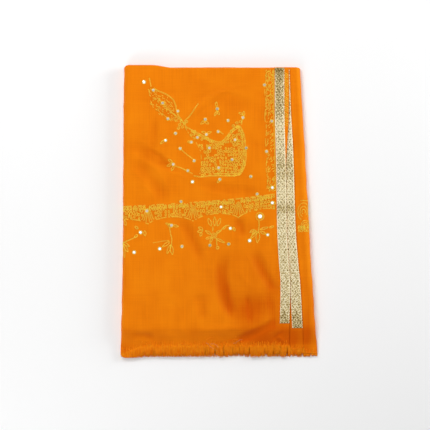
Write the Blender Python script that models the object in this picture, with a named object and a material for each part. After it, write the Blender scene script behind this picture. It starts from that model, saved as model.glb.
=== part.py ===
"""A long saffron shawl, folded small and lying flat on its back.

The cloth is 2 m long and just under 1 m wide. It is doubled twice end to end, so that it is four plies
thick, and then folded in three side to side: the middle third lies on the surface, the right third is
folded over it, and the front third is folded over both from the left. What shows is modelled as cloth:
the ply on the outside, which runs round the whole bundle in two stretches, and the ply under it that
looks out at the front third's edge. The plies between them are one rounded solid. A gold tape runs along
each long edge of the cloth, and its two ends are frayed.

X runs across the bundle, Y along it from the fringe to the top fold, and Z is up. The functions work in
millimetres, and add_mesh turns their points into metres.
"""

import math
import random

import bmesh
import bpy
import numpy as np

MM = 0.001

# Cloth and clearances.
CLOTH = 1.2
GAP = 0.3
TAPE = 0.5
TAPE_LIFT = GAP

# Heights of the outside surface above the floor, in the body of the bundle and at the hem.
RIGHT_THIRD = 11.0
RIGHT_THIRD_AT_HEM = 5.0
RIGHT_THIRD_AT_END = 3.6
SECOND_OVER_RIGHT = CLOTH + 0.5
FRONT_OVER_SECOND = TAPE_LIFT + TAPE + 0.4 + CLOTH

# How much higher the front third is away from its free edge, and over what width it rises.
LOFT = 2.4
LOFT_WIDTH = 52.0

# The right third dips beside the inner tape and swells at its fold: depth or height, and half width.
DIP = (0.8, 9.0)
SWELL = (0.7, 14.0)

# Creases fade out towards the free edge, the fringe and the top fold: over what distance, and how much of
# them stays at the free edge.
CALM_EDGE = 26.0
CALM_END = 16.0
CALM_SHARE = 0.12

# Where the bundle thins towards the fringe, along Y.
HEM_TOP = -196.0
HEM_FOOT = -232.0
BUNDLE_END = -250.0

# The rounding of the folds: half width of the left and right folds, and the radius of the top fold of
# the two thirds under the front one. The front third's own top fold is as thick as that third.
LEFT_ROUND = 8.0
RIGHT_ROUND = 9.0
LOWER_ROLL = 2.6
ROLL_STEPS = 6

# At the free edge the top fold turns only this share of the way round, and the rest of the way farther in.
LOOSE_TURN = 0.45
LOOSE_WIDTH = 30.0

# The bundle's outline from above. Each row holds a place along Y and, there, the X of the left fold, of
# the outer tape's edge, of the inner tape's edge and of the right fold, and how far the cloth reaches
# past the outer tape.
OUTLINE_COLUMNS = ("along", "left_fold", "outer_tape", "inner_tape", "right_fold", "margin")
OUTLINE = (
    (255.0, -163.2, 112.0, 121.8, 139.0, 7.8),
    (165.0, -164.4, 112.3, 125.2, 144.4, 7.2),
    (118.0, -164.8, 113.4, 127.6, 147.2, 3.6),
    (80.0, -165.0, 114.5, 128.8, 149.0, 0.8),
    (-25.0, -165.2, 116.1, 132.0, 155.2, 0.6),
    (-78.0, -165.8, 118.8, 135.8, 157.6, 0.6),
    (-120.0, -166.6, 122.0, 139.8, 160.8, 0.6),
    (-192.0, -168.0, 121.4, 143.6, 165.4, 0.6),
    (-250.0, -170.4, 121.0, 146.0, 170.4, 0.6),
)

# The tapes: how much of each one's width shows, and where along Y it stops short of the fringe.
OUTER_TAPE_WIDTH = 16.0
INNER_TAPE_WIDTH = 17.5
OUTER_TAPE_END = -191.8
INNER_TAPE_END = -200.4

# How far the ply under the front one and the right third's ply run on out of sight.
SECOND_HIDDEN = 80.0
RIGHT_HIDDEN = 26.0

# The ply under the front one stops this far short of the front third's top, where it shows beside it.
SECOND_SHORT = 2.0

# Where the woven cloth ends and the fringe begins, for each ply that shows, and where the hidden plies end.
FRONT_END = -230.0
FRONT_END_AT_FOLD = -238.0
SECOND_END = -236.0
RIGHT_END = -243.0
CORE_END = -240.0
CORE_END_AT_FOLD = -248.4
FRONT_END_SLANT = 44.0
CORE_END_STEP = (-146.0, 18.0)

# The top fold stands a little higher at the left end than over the rest. The step is at an X and this wide.
TOP_AT_LEFT = 253.7
TOP_OF_FRONT = 248.6
TOP_OF_RIGHT = 250.4
TOP_STEP = (-108.0, 30.0)

# The hidden plies: how far inside the outside they lie at the folds, and where they stop short of the
# top, but for the right third's own roll.
CORE_INSET = 2.0
CORE_SHORT = 9.5
CORE_STEP = 0.7
FRINGE_ROOM = 2.2

# The profile of the hidden plies' fringe end, where two plies stop short of the others, and of the right
# third's roll at the top. Each row holds a step along Y and the share of the height there.
RIDGES = ((0.9, 0.26), (0.0, 0.38), (0.3, 0.5), (1.9, 0.6), (1.9, 0.64), (0.0, 0.76), (0.8, 0.94))
ROLL_PROFILE = ((-4.4, 1.0), (-2.2, 0.86), (-0.9, 0.5), (-0.4, 0.16))

# Soft troughs, with a negative height, and ridges in the front third. Each runs from one place to another
# and bows sideways by its bow.
CREASE_COLUMNS = ("x0", "y0", "x1", "y1", "bow", "half_width", "height")
CREASES = (
    (-162, 124, -72, 66, 1, 14, -3.4),
    (-150, 94, -88, 18, 3, 17, -1.7),
    (-66, 150, 30, 216, 8, 9, 1.4),
    (-52, 186, 88, 168, 12, 16, -1.9),
    (-42, 52, 78, 35, -4, 13, -1.7),
    (-111, 168, -116, 96, 1, 11, -0.8),
    (-70, -6, -28, -92, 4, 14, -1.6),
    (10, -62, 32, -192, -15, 15, -3.2),
    (58, -58, 104, -146, -4, 14, -2.0),
    (-36, -136, -26, -186, 0, 14, -1.3),
    (20, -224, 108, -182, -3, 12, -2.2),
    (-156, -214, -106, -218, 5, 9, -1.1),
    (-40, -203, 52, -196, 0, 9, 0.9),
)

# Broad hollows and swells in the front third.
HOLLOW_COLUMNS = ("x", "y", "half_x", "half_y", "height")
HOLLOWS = (
    (56, -164, 42, 32, -1.8),
    (37, -24, 24, 22, -1.3),
    (-120, 60, 46, 44, 1.0),
    (42, -110, 26, 44, 1.1),
    (-95, -120, 60, 70, 0.8),
)

# Places along Y that every piece of cloth shares, closer together where the hem falls, and how clear of
# a ply's end and top they keep.
HEM_STATIONS = (-237, -231, -225, -219, -213, -207, -200)
BODY_STATIONS = tuple(-188 + 14.4 * k for k in range(30))
CLEAR_OF_END = 3.0
CLEAR_OF_TOP = 9.0

# Columns across the front third and round each side fold, and how far the front node runs on under
# the bundle before its seam.
FRONT_COLUMNS = 22
FOLD_COLUMNS = 8
FLOOR_LAP = 6.0

# Fringe: a narrow strip beyond the cloth's end, and the locks that hang from it.
STRIP_DEPTH = 1.6
STRIP_THICKNESS = 0.9
LOCK_SHARE = 0.66
LOCK_HALF_HEIGHT = 0.42
FRINGE_COLUMNS = ("first_x", "last_x", "locks", "length", "tip_height")
FRINGES = {
    "front_fringe": (-134, 120.5, 84, 20.0, 2.4),
    "second_fringe": (123.0, 145.0, 8, 7.4, 5.0),
    "right_fringe": (147.5, 160.5, 5, 2.2, 2.2),
    "floor_fringe": (-130, 158, 36, 3.8, 0.8),
}

SAFFRON = (0.84, 0.22, 0.008)
SAFFRON_SHADE = (0.74, 0.17, 0.006)
GOLD = (0.72, 0.60, 0.36)


def rows_of(columns, table):
    """The table's rows, each as a dictionary by column name."""
    return [dict(zip(columns, row)) for row in table]


def clamp(value):
    return min(1.0, max(0.0, value))


def ease(value):
    """0 below 0, 1 above 1 and a smooth step between."""
    t = clamp(value)
    return t * t * (3 - 2 * t)


def bell(value):
    """1 at 0, falling smoothly to 0 at 1 and -1."""
    return max(0.0, 1 - value * value) ** 2


def mix(a, b, share):
    return a + (b - a) * share


FRINGE_ROWS = {name: dict(zip(FRINGE_COLUMNS, row)) for name, row in FRINGES.items()}
OUTLINE_ROWS = rows_of(OUTLINE_COLUMNS, OUTLINE)
CREASE_ROWS = rows_of(CREASE_COLUMNS, CREASES)
HOLLOW_ROWS = rows_of(HOLLOW_COLUMNS, HOLLOWS)


def outline(column, y):
    """The outline's value at y, on a smooth curve through the table."""
    rows = OUTLINE_ROWS
    i = 0
    while i < len(rows) - 2 and y < rows[i + 1]["along"]:
        i += 1
    ys = [rows[k]["along"] for k in (i, i + 1)]
    values = [rows[k][column] for k in (i, i + 1)]

    def slope(k):
        a, b = rows[max(k - 1, 0)], rows[min(k + 1, len(rows) - 1)]
        return (b[column] - a[column]) / (b["along"] - a["along"])

    span = ys[1] - ys[0]
    t = clamp((y - ys[0]) / span)
    slopes = [slope(i) * span, slope(i + 1) * span]
    return (
        (2 * t**3 - 3 * t**2 + 1) * values[0]
        + (t**3 - 2 * t**2 + t) * slopes[0]
        + (3 * t**2 - 2 * t**3) * values[1]
        + (t**3 - t**2) * slopes[1]
    )


def crease(row, x, y):
    """How much one crease lifts the cloth at a point."""
    ax, ay = row["x1"] - row["x0"], row["y1"] - row["y0"]
    length = math.hypot(ax, ay)
    along = ((x - row["x0"]) * ax + (y - row["y0"]) * ay) / length**2
    across = ((y - row["y0"]) * ax - (x - row["x0"]) * ay) / length
    t = clamp(along)
    ends = ease(t / 0.3) * ease((1 - t) / 0.3)
    offset = across - row["bow"] * 4 * t * (1 - t)
    return row["height"] * ends * bell(offset / row["half_width"])


def relief(x, y):
    """The folds of the front third, which fade out towards its free edge."""
    total = sum(crease(row, x, y) for row in CREASE_ROWS)
    for row in HOLLOW_ROWS:
        reach = math.hypot((x - row["x"]) / row["half_x"], (y - row["y"]) / row["half_y"])
        total += row["height"] * bell(reach)
    calm = ease((outline("outer_tape", y) - OUTER_TAPE_WIDTH / 2 - x) / CALM_EDGE)
    return total * mix(CALM_SHARE, 1.0, calm)


def right_height(x, y):
    """Height of the right third's outside, with a dip beside the inner tape and a swell at the fold."""
    at_hem = mix(RIGHT_THIRD_AT_HEM, RIGHT_THIRD, ease((y - HEM_FOOT) / (HEM_TOP - HEM_FOOT)))
    height = mix(RIGHT_THIRD_AT_END, at_hem, ease((y - BUNDLE_END) / (HEM_FOOT - BUNDLE_END)))
    full = (height - RIGHT_THIRD_AT_END) / (RIGHT_THIRD - RIGHT_THIRD_AT_END)
    dip = bell((x - outline("inner_tape", y)) / DIP[1] - 0.8)
    swell = bell((x - outline("right_fold", y) + RIGHT_ROUND) / SWELL[1] + 0.15)
    return height + full * (SWELL[0] * swell - DIP[0] * dip)


def second_height(x, y):
    """Height of the outside of the ply under the front one."""
    return right_height(x, y) + SECOND_OVER_RIGHT


def front_height(x, y):
    """Height of the front third's outside."""
    in_body = ease((y - HEM_FOOT) / (HEM_TOP - HEM_FOOT))
    from_edge = ease((outline("outer_tape", y) - x) / LOFT_WIDTH)
    ends = ease((y - FRONT_END) / CALM_END) * ease((TOP_OF_FRONT - y) / CALM_END)
    return second_height(x, y) + FRONT_OVER_SECOND + LOFT * in_body * from_edge + relief(x, y) * ends


def around_fold(side, theta, y, inset):
    """A point on the left (side -1) or right (side 1) fold, theta from the top round to the floor."""
    if side < 0:
        half = LEFT_ROUND
        centre = outline("left_fold", y) + half
        rise = front_height(centre, y) / 2
    else:
        half = RIGHT_ROUND
        centre = outline("right_fold", y) - half
        rise = right_height(centre, y) / 2
    x = centre + side * (half - inset) * math.sin(theta)
    return x, rise + (rise - inset) * math.cos(theta)


def top_line(x):
    """Y of the top fold over the front third."""
    return mix(TOP_AT_LEFT, TOP_OF_FRONT, ease((x - TOP_STEP[0]) / TOP_STEP[1]))


def front_end_line(x):
    """Y where the front third's weave ends: farther out at the left fold."""
    return mix(FRONT_END_AT_FOLD, FRONT_END, ease((x - OUTLINE_ROWS[-1]["left_fold"]) / FRONT_END_SLANT))


def core_end_line(x):
    """Y where the hidden plies end: farther out at the left fold, where they show past the front one."""
    return mix(CORE_END_AT_FOLD, CORE_END, ease((x - CORE_END_STEP[0]) / CORE_END_STEP[1]))


def front_roll(x):
    """Radius of the front third's top fold: half that third's thickness."""
    y = TOP_OF_FRONT - CALM_END
    return (front_height(x, y) - right_height(x, y) - GAP) / 2


class Column:
    """A line along the cloth: its place at each Y, its ends, and how its top fold turns."""

    def __init__(self, place, end, top, roll, turn=1.0):
        self.place = place
        self.end = end
        self.top = top
        self.roll = roll
        self.turn = turn

    def point(self, row, depth):
        """The point depth inside the cloth's outside, at one row."""
        kind, value = row
        inset = depth
        if kind == "end":
            y = self.end
        elif kind == "station":
            y = value
        elif kind == "top":
            y = self.top
        else:
            angle = math.pi * value * self.turn
            y = self.top - self.roll + (self.roll - depth) * math.sin(angle)
            inset = self.roll - (self.roll - depth) * math.cos(angle)
        x, z = self.place(y, inset)
        return x, y, z


def rows_between(end, top, rolled):
    """The rows of a ply: its fringe end, the shared stations clear of its ends, and its top or roll."""
    shared = (*HEM_STATIONS, *BODY_STATIONS)
    stations = [y for y in shared if end + CLEAR_OF_END < y < top - CLEAR_OF_TOP]
    rows = [("end", None)] + [("station", y) for y in stations]
    if rolled:
        return rows + [("roll", k / ROLL_STEPS) for k in range(ROLL_STEPS + 1)]
    return rows + [("top", None)]


def flat_place(x_at, height):
    """The place of a column whose X follows x_at along Y, on the surface that height gives."""

    def place(y, inset):
        x = x_at(y)
        return x, height(x, y) - inset

    return place


def floor_place(x_at):
    return lambda y, inset: (x_at(y), inset)


def fold_place(side, theta):
    return lambda y, inset: around_fold(side, theta, y, inset)


def beside(column, distance):
    """X at a distance from one of the outline's lines."""
    return lambda y: outline(column, y) + distance


def between(first, second, share):
    return lambda y: mix(first(y), second(y), share)


def front_ply():
    """The front third from its free edge to the left fold, and round the fold to the floor."""
    tape_left = beside("outer_tape", -OUTER_TAPE_WIDTH)
    fold_top = beside("left_fold", LEFT_ROUND)
    across = [lambda y: outline("outer_tape", y) + outline("margin", y)]
    across += [beside("outer_tape", -OUTER_TAPE_WIDTH * k / 2) for k in range(3)]
    across += [between(tape_left, fold_top, k / FRONT_COLUMNS) for k in range(1, FRONT_COLUMNS)]
    columns = []
    for x_at in across:
        x = x_at(0)
        turn = mix(LOOSE_TURN, 1.0, ease((tape_left(0) - x) / LOOSE_WIDTH))
        place = flat_place(x_at, front_height)
        columns.append(Column(place, front_end_line(x), top_line(x), front_roll(x), turn))
    roll_at_fold = front_roll(fold_top(0))
    for k in range(FOLD_COLUMNS + 1):
        share = k / FOLD_COLUMNS
        end = mix(FRONT_END_AT_FOLD, RIGHT_END, share)
        top = mix(TOP_AT_LEFT, TOP_OF_RIGHT, share)
        place = fold_place(-1, math.pi * share)
        columns.append(Column(place, end, top, mix(roll_at_fold, LOWER_ROLL, share)))
    seam = beside("left_fold", LEFT_ROUND + FLOOR_LAP)
    columns.append(Column(floor_place(seam), RIGHT_END, TOP_OF_RIGHT, LOWER_ROLL))
    return columns, rows_between(FRONT_END, TOP_OF_FRONT, True)


def right_ply():
    """The cloth on the floor, round the right fold, and over to where the front third hides it."""
    seam = beside("left_fold", LEFT_ROUND + FLOOR_LAP + GAP)
    fold_foot = beside("right_fold", -RIGHT_ROUND)
    hidden = beside("inner_tape", -RIGHT_HIDDEN)
    places = [floor_place(between(seam, fold_foot, k / 2)) for k in range(2)]
    places += [fold_place(1, math.pi * (1 - k / FOLD_COLUMNS)) for k in range(FOLD_COLUMNS + 1)]
    places += [flat_place(between(fold_foot, hidden, k / 6), right_height) for k in range(1, 7)]
    columns = [Column(place, RIGHT_END, TOP_OF_RIGHT, LOWER_ROLL) for place in places]
    return columns, rows_between(RIGHT_END, TOP_OF_RIGHT, True)


def second_ply():
    """The ply under the front one, from its own taped edge to where it is well hidden."""
    tape_left = beside("inner_tape", -INNER_TAPE_WIDTH)
    hidden = beside("inner_tape", -SECOND_HIDDEN)
    across = [beside("inner_tape", OUTLINE_ROWS[-1]["margin"])]
    across += [beside("inner_tape", -INNER_TAPE_WIDTH * k / 2) for k in range(3)]
    across += [between(tape_left, hidden, k / 4) for k in range(1, 5)]
    columns = []
    for x_at in across:
        covered = x_at(TOP_OF_FRONT) < outline("outer_tape", TOP_OF_FRONT) + outline("margin", TOP_OF_FRONT)
        top = TOP_OF_FRONT - (CORE_SHORT if covered else SECOND_SHORT)
        columns.append(Column(flat_place(x_at, second_height), SECOND_END, top, 0.0))
    return columns, rows_between(SECOND_END, TOP_OF_FRONT, False)


def grid(ply, depth):
    """A ply's points at one depth, as rows of columns."""
    columns, rows = ply
    return [[column.point(row, depth) for column in columns] for row in rows]


def solid_between(name, outer, inner, material):
    """A closed solid between two grids of points of the same size."""
    rows, columns = len(outer), len(outer[0])
    points = [point for side in (outer, inner) for row in side for point in row]
    below = rows * columns

    def at(layer, r, c):
        return layer * below + r * columns + c

    faces = []
    for r in range(rows - 1):
        for c in range(columns - 1):
            faces.append((at(0, r, c), at(0, r, c + 1), at(0, r + 1, c + 1), at(0, r + 1, c)))
            faces.append((at(1, r, c), at(1, r + 1, c), at(1, r + 1, c + 1), at(1, r, c + 1)))
    for r in range(rows - 1):
        for c in (0, columns - 1):
            faces.append((at(0, r, c), at(0, r + 1, c), at(1, r + 1, c), at(1, r, c)))
    for c in range(columns - 1):
        for r in (0, rows - 1):
            faces.append((at(0, r, c), at(0, r, c + 1), at(1, r, c + 1), at(1, r, c)))
    return add_mesh(name, points, faces, material)


def add_mesh(name, points, faces, material):
    mesh = bpy.data.meshes.new(name)
    mesh.from_pydata([[value * MM for value in p] for p in points], [], faces)
    work = bmesh.new()
    work.from_mesh(mesh)
    bmesh.ops.recalc_face_normals(work, faces=work.faces)
    work.to_mesh(mesh)
    work.free()
    mesh.shade_smooth()
    mesh.set_sharp_from_angle(angle=math.radians(50))
    mesh.materials.append(material)
    obj = bpy.data.objects.new(name, mesh)
    bpy.context.scene.collection.objects.link(obj)
    return obj


def cloth_wall(name, ply, material):
    return solid_between(name, grid(ply, 0.0), grid(ply, CLOTH), material)


def tape_on(name, ply, end, material):
    """A tape over the ply's second to fourth columns, made from the ply's own points moved out."""
    columns, rows = ply
    taped = [Column(c.place, end, c.top, c.roll, c.turn) for c in columns[1:4]]
    kept = [row for row in rows if row[0] != "station" or row[1] > end + CLEAR_OF_END]
    tape = (taped, kept)
    return solid_between(name, grid(tape, -TAPE_LIFT - TAPE), grid(tape, -TAPE_LIFT), material)


def lowest_near(height, x, y, reach_x, reach_y):
    """The least height in a window round a point, so that a coarse surface stays under a fine one."""
    steps = (-1, -0.5, 0, 0.5, 1)
    return min(height(x + reach_x * i, y + reach_y * k) for i in steps for k in steps)


def core_top(x, y):
    """Height of the hidden plies' upper side: under the front ply, under the second one, in the fold.
    Past the front ply's end it sinks clear of the fringe."""
    sunk = FRINGE_ROOM * ease((FRONT_END + 6 - y) / 10)
    if x < outline("inner_tape", y) - SECOND_HIDDEN - CORE_STEP:
        return lowest_near(front_height, x, y, 12, 14) - CLOTH - 2 * GAP - sunk
    if x < outline("inner_tape", y) - RIGHT_HIDDEN - CORE_STEP:
        return right_height(x, y) + 0.1 - 0.64 * sunk
    return right_height(x, y) - CORE_INSET - 0.1


def core_columns():
    """The lines across the hidden plies, with a step at each ply that ends over them. Each is its place,
    as a function of Y that gives X and the upper and lower heights, and whether the right third's roll
    shows there at the top."""
    left = beside("left_fold", LEFT_ROUND)
    corner = beside("left_fold", LEFT_ROUND + 3)
    right = beside("right_fold", -RIGHT_ROUND)
    before_second = beside("inner_tape", -SECOND_HIDDEN - 2 * CORE_STEP)
    after_second = beside("inner_tape", -SECOND_HIDDEN - CORE_STEP)
    before_right = beside("inner_tape", -RIGHT_HIDDEN - 2 * CORE_STEP)
    after_right = beside("inner_tape", -RIGHT_HIDDEN - CORE_STEP)

    def inside(x_at):
        def place(y):
            x = x_at(y)
            return x, core_top(x, y), CORE_INSET

        return place

    def in_fold(side, theta):
        def place(y):
            x, high = around_fold(side, theta, y, CORE_INSET)
            _, low = around_fold(side, math.pi - theta, y, CORE_INSET)
            return x, high, low

        return place

    angles = [math.radians(a) for a in (84, 55, 28)]
    columns = [(in_fold(-1, theta), False) for theta in angles]
    columns += [(inside(left), False)]
    columns += [(inside(between(corner, before_second, k / 9)), True) for k in range(10)]
    columns += [(inside(between(after_second, before_right, k / 3)), True) for k in range(4)]
    columns += [(inside(between(after_right, right, k / 3)), False) for k in range(4)]
    columns += [(in_fold(1, theta), False) for theta in reversed(angles)]
    return columns


def hidden_layers(name, material):
    """The plies out of sight as one solid with round sides. Its fringe end is ridged where plies stop, and
    its top end has the right third's roll between the rolls of the front third and of the floor ply."""
    upper, lower = [], []

    def add_row(points):
        upper.append([(x, y, high) for x, y, high, _ in points])
        lower.append([(x, y, low) for x, y, _, low in points])

    def squeezed(place, y, share):
        x, high, low = place(y)
        middle = (high + low) / 2
        return x, y, mix(middle, high, share), mix(middle, low, share)

    columns = core_columns()
    for step, share in RIDGES:
        add_row([squeezed(place, core_end_line(place(CORE_END)[0]) + step, share) for place, _ in columns])
    for y in (*HEM_STATIONS[1::2], *BODY_STATIONS[::2]):
        if CORE_END + CLEAR_OF_END < y < TOP_OF_FRONT - CORE_SHORT - CLEAR_OF_TOP:
            add_row([squeezed(place, y, 1.0) for place, _ in columns])
    stops = [min(top_line(place(0)[0]), TOP_OF_RIGHT) - CORE_SHORT for place, _ in columns]
    add_row([squeezed(place, stop, 1.0) for (place, _), stop in zip(columns, stops)])
    roll_low = 2 * LOWER_ROLL + GAP
    for k, (step, share) in enumerate(ROLL_PROFILE):
        row = []
        for (place, shows), stop in zip(columns, stops):
            if shows:
                x = place(TOP_OF_RIGHT)[0]
                y = TOP_OF_RIGHT + step if k else stop + CORE_STEP
                roll_high = right_height(x, y) - GAP
                middle = (roll_high + roll_low) / 2
                row.append((x, y, mix(middle, roll_high, share), mix(middle, roll_low, share)))
            else:
                row.append(squeezed(place, stop + 0.3 * (k + 1), 0.3 - 0.06 * k))
        add_row(row)
    return solid_between(name, upper, lower, material)


PLY_ENDS = {
    "front_fringe": (front_end_line, front_height),
    "second_fringe": (lambda x: SECOND_END, second_height),
    "right_fringe": (lambda x: RIGHT_END, right_height),
    "floor_fringe": (lambda x: RIGHT_END, lambda x, y: CLOTH + 0.1),
}


def fringe(name, row, material):
    """Locks of frayed thread in a row along a ply's end, their roots in a narrow strip."""
    end_line, height = PLY_ENDS[name]
    first_x, count, length, tip_height = (row[c] for c in ("first_x", "locks", "length", "tip_height"))
    rng = random.Random(name)
    pitch = (row["last_x"] - first_x) / count
    points, faces = [], []
    for k in range(count):
        start = first_x + pitch * k
        for x in (start, start + pitch * LOCK_SHARE):
            y = end_line(x) - GAP
            z = height(x, y) - 0.1
            points += [
                (x, y, z),
                (x, y - STRIP_DEPTH, z - 0.2),
                (x, y - STRIP_DEPTH, z - 0.2 - STRIP_THICKNESS),
                (x, y, z - STRIP_THICKNESS),
            ]
    bounds = 2 * count
    for i in range(bounds - 1):
        a, b = 4 * i, 4 * (i + 1)
        faces += [(a, b, b + 1, a + 1), (a + 2, b + 2, b + 3, a + 3), (a + 3, b + 3, b, a)]
        if i % 2:
            faces.append((a + 1, b + 1, b + 2, a + 2))
    last = 4 * (bounds - 1)
    faces += [(0, 1, 2, 3), (last, last + 3, last + 2, last + 1)]
    for k in range(count):
        a, b = 8 * k, 8 * k + 4
        root = [points[i] for i in (a + 1, b + 1, b + 2, a + 2)]
        reach = length * rng.uniform(0.82, 1.0)
        lean = rng.uniform(-1.3, 1.3)
        middle = np.mean(root, axis=0)
        tip_z = tip_height + rng.uniform(-0.3, 0.5)
        half = pitch * LOCK_SHARE / 2
        swell = half * rng.uniform(0.8, 1.15)
        bend_y = middle[1] - reach * 0.45
        bend_z = mix(middle[2], tip_z, 0.3)
        ring = len(points)
        for across, up in ((-1, 1), (1, 1), (1, -1), (-1, -1)):
            bend_x = middle[0] + lean * 0.45 + across * swell
            points.append((bend_x, bend_y, bend_z + up * LOCK_HALF_HEIGHT))
        points.append((middle[0] + lean, middle[1] - reach, tip_z))
        corners = (a + 1, b + 1, b + 2, a + 2)
        for i in range(4):
            k2 = (i + 1) % 4
            faces.append((corners[i], corners[k2], ring + k2, ring + i))
            faces.append((ring + i, ring + k2, ring + 4))
    return add_mesh(name, points, faces, material)


def make_material(name, colour, roughness, metallic):
    material = bpy.data.materials.new(name)
    material.use_nodes = True
    shader = material.node_tree.nodes["Principled BSDF"]
    shader.inputs["Base Color"].default_value = (*colour, 1.0)
    shader.inputs["Roughness"].default_value = roughness
    shader.inputs["Metallic"].default_value = metallic
    material.diffuse_color = (*colour, 1.0)
    return material


def clear_scene():
    for obj in list(bpy.data.objects):
        bpy.data.objects.remove(obj)


def centre_on_floor(pieces):
    """Hangs every piece on one empty that carries the bundle's middle to the origin."""
    frame = bpy.data.objects.new("shawl", None)
    bpy.context.scene.collection.objects.link(frame)
    corners = np.array([v.co for piece in pieces for v in piece.data.vertices])
    low, high = corners.min(axis=0), corners.max(axis=0)
    for piece in pieces:
        piece.parent = frame
    frame.location = (-(low[0] + high[0]) / 2, -(low[1] + high[1]) / 2, -low[2])


def main():
    clear_scene()
    front, second, right = front_ply(), second_ply(), right_ply()

    def cloth(name):
        return make_material(name, SAFFRON, 0.6, 0.0)

    def gold(name):
        return make_material(name, GOLD, 0.35, 0.9)

    pieces = [
        cloth_wall("front_third", front, cloth("front_cloth")),
        cloth_wall("right_fold", right, cloth("right_cloth")),
        cloth_wall("second_ply", second, cloth("second_cloth")),
        hidden_layers("hidden_layers", make_material("hidden_cloth", SAFFRON_SHADE, 0.7, 0.0)),
        tape_on("outer_tape", front, OUTER_TAPE_END, gold("outer_gold")),
        tape_on("inner_tape", second, INNER_TAPE_END, gold("inner_gold")),
    ]
    for name, row in FRINGE_ROWS.items():
        pieces.append(fringe(name, row, cloth(name.replace("fringe", "thread"))))
    centre_on_floor(pieces)


main()
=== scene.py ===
import math
import random
from functools import partial

import bpy
import numpy as np
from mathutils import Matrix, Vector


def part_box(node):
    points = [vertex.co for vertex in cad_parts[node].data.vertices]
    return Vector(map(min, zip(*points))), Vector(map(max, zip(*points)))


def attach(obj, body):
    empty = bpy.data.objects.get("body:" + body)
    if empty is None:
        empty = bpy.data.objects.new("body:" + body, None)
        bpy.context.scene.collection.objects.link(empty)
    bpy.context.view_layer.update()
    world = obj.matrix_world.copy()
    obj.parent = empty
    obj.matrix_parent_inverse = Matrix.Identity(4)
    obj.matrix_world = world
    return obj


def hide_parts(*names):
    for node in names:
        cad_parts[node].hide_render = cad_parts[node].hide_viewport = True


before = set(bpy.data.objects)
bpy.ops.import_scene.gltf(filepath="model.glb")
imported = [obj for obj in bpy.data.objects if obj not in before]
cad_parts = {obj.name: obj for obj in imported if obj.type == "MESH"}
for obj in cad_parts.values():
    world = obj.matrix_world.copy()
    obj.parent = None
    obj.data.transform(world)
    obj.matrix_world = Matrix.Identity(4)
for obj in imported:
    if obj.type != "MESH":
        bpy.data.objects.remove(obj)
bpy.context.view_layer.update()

mm = 0.001
print("frame loaded:", ", ".join(sorted(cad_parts)))

# The folded bundle, in millimetres: the driving sizes of its solids, with a few a little changed.
bundle = {
    "cloth": 0.7,             # thickness of the woven cloth
    "rightThird": 11.0,       # height of the right third's outside
    "rightAtHem": 5.0,
    "rightAtEnd": 3.6,
    "secondOverRight": 1.7,
    "frontOverSecond": 2.4,
    "loft": 2.4,              # the front third lifts away from its free edge
    "loftWidth": 52.0,
    "dip": (0.8, 9.0, 0.8),   # beside the inner tape: depth, half width, and a shift in half widths
    "swell": (0.7, 14.0, 0.15),     # at the right fold: height, half width and shift
    "hemTop": -196.0,
    "hemFoot": -232.0,
    "bundleEnd": -250.0,
    "leftRound": 8.0,
    "rightRound": 9.0,
    "lowerRoll": 2.6,         # radius of the top fold, under the front third
    "looseTurn": 0.45,
    "looseWidth": 30.0,
    "outerTapeWidth": 16.0,
    "innerTapeWidth": 17.5,
    "outerTapeEnd": -189.6,
    "innerTapeEnd": -198.0,
    "secondHidden": 80.0,
    "rightHidden": 26.0,
    "frontEnd": -230.0,
    "frontEndAtFold": -243.0,
    "frontEndSlant": 44.0,
    "secondEnd": -236.0,
    "rightEnd": -243.0,
    "topAtLeft": 253.7,
    "topOfFront": 248.6,
    "topOfRight": 250.4,
    "topStep": (-120.0, 42.0),
    "secondShort": 2.0,
    "hiddenShort": 9.5,       # how far the hidden plies stop short of the top
    "floorLap": 6.0,
    "cornerRound": 1.4,
}

# How the front third drapes, in millimetres.
drape = {
    "creaseGain": 1.45,        # how much deeper the creases are pressed than in the solids
    "hemPressed": (1.3, 0.7),  # how far the front and the second ply lie pressed down at the hem
    "hemFrom": -198.0,         # where that starts, and over what length
    "hemWidth": 14.0,
    "hemEdge": 22.0,
    "endFade": 16.0,           # creases fade out over this towards both ends
    "fineFade": (6.0, 10.0),   # fine ones over these, at the fringe and at the top fold
    "edgeFade": 26.0,          # and all of them over this towards the free edge
    "leastCrease": 0.12,       # what is left of them there
    "looseBelow": (-193.0, 10.0),     # below the tapes' ends they stay, over this length
    "hemRipple": (-214.0, 26.0),      # small waves of the hem: middle and half length
    "overPlies": (14.0, 12.0, 1.0),   # the second ply lies beneath from here, over this width, this thick
    "soften": 0.5,             # how softly the front ply comes to rest on it
}

# Painted shade and painted light: where the cloth's colour is made darker to stand for shade, or paler to
# stand for light.
paintedShading = {
    "inCrease": 0.18,          # painted shade in creases, for each millimetre of a crease's depth
    "deepest": 4.0,
    "stitched": 0.20,          # painted shadow under close embroidery, where its threads shade their ground
    "paintedLightOverFold": 0.42,         # painted light: how much paler over the right fold, from and over which width
    "overFold": (11.0, 7.0),
    "upTheFold": (-150.0, 60.0),
    "atEnd": 0.6,              # the share of all this painted shade and light at the fringe, but for the left corner
    "endWidth": 9,
    "leftCorner": (-130, 12),
    "range": (-0.5, 1.0),
}

# The bundle's outline from above: for a Y along it, the X of the left fold, of the two tapes' outer edges
# and of the right fold, and how far the cloth reaches past the outer tape.
outlineColumns = ("along", "leftFold", "outerTape", "innerTape", "rightFold", "margin")
outlineRows = (
    (255.0, -163.8, 111.2, 119.8, 139.0, 8.2),
    (165.0, -165.0, 111.4, 123.0, 144.4, 7.8),
    (118.0, -165.4, 112.6, 125.8, 147.2, 4.0),
    (80.0, -165.6, 113.6, 127.4, 149.0, 0.8),
    (-25.0, -165.8, 115.2, 130.6, 155.2, 0.6),
    (-78.0, -166.4, 117.8, 134.4, 157.6, 0.6),
    (-120.0, -167.2, 121.0, 138.4, 160.8, 0.6),
    (-192.0, -168.6, 119.9, 142.5, 165.4, 0.6),
    (-250.0, -171.0, 119.7, 145.1, 170.4, 0.6),
)

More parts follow.
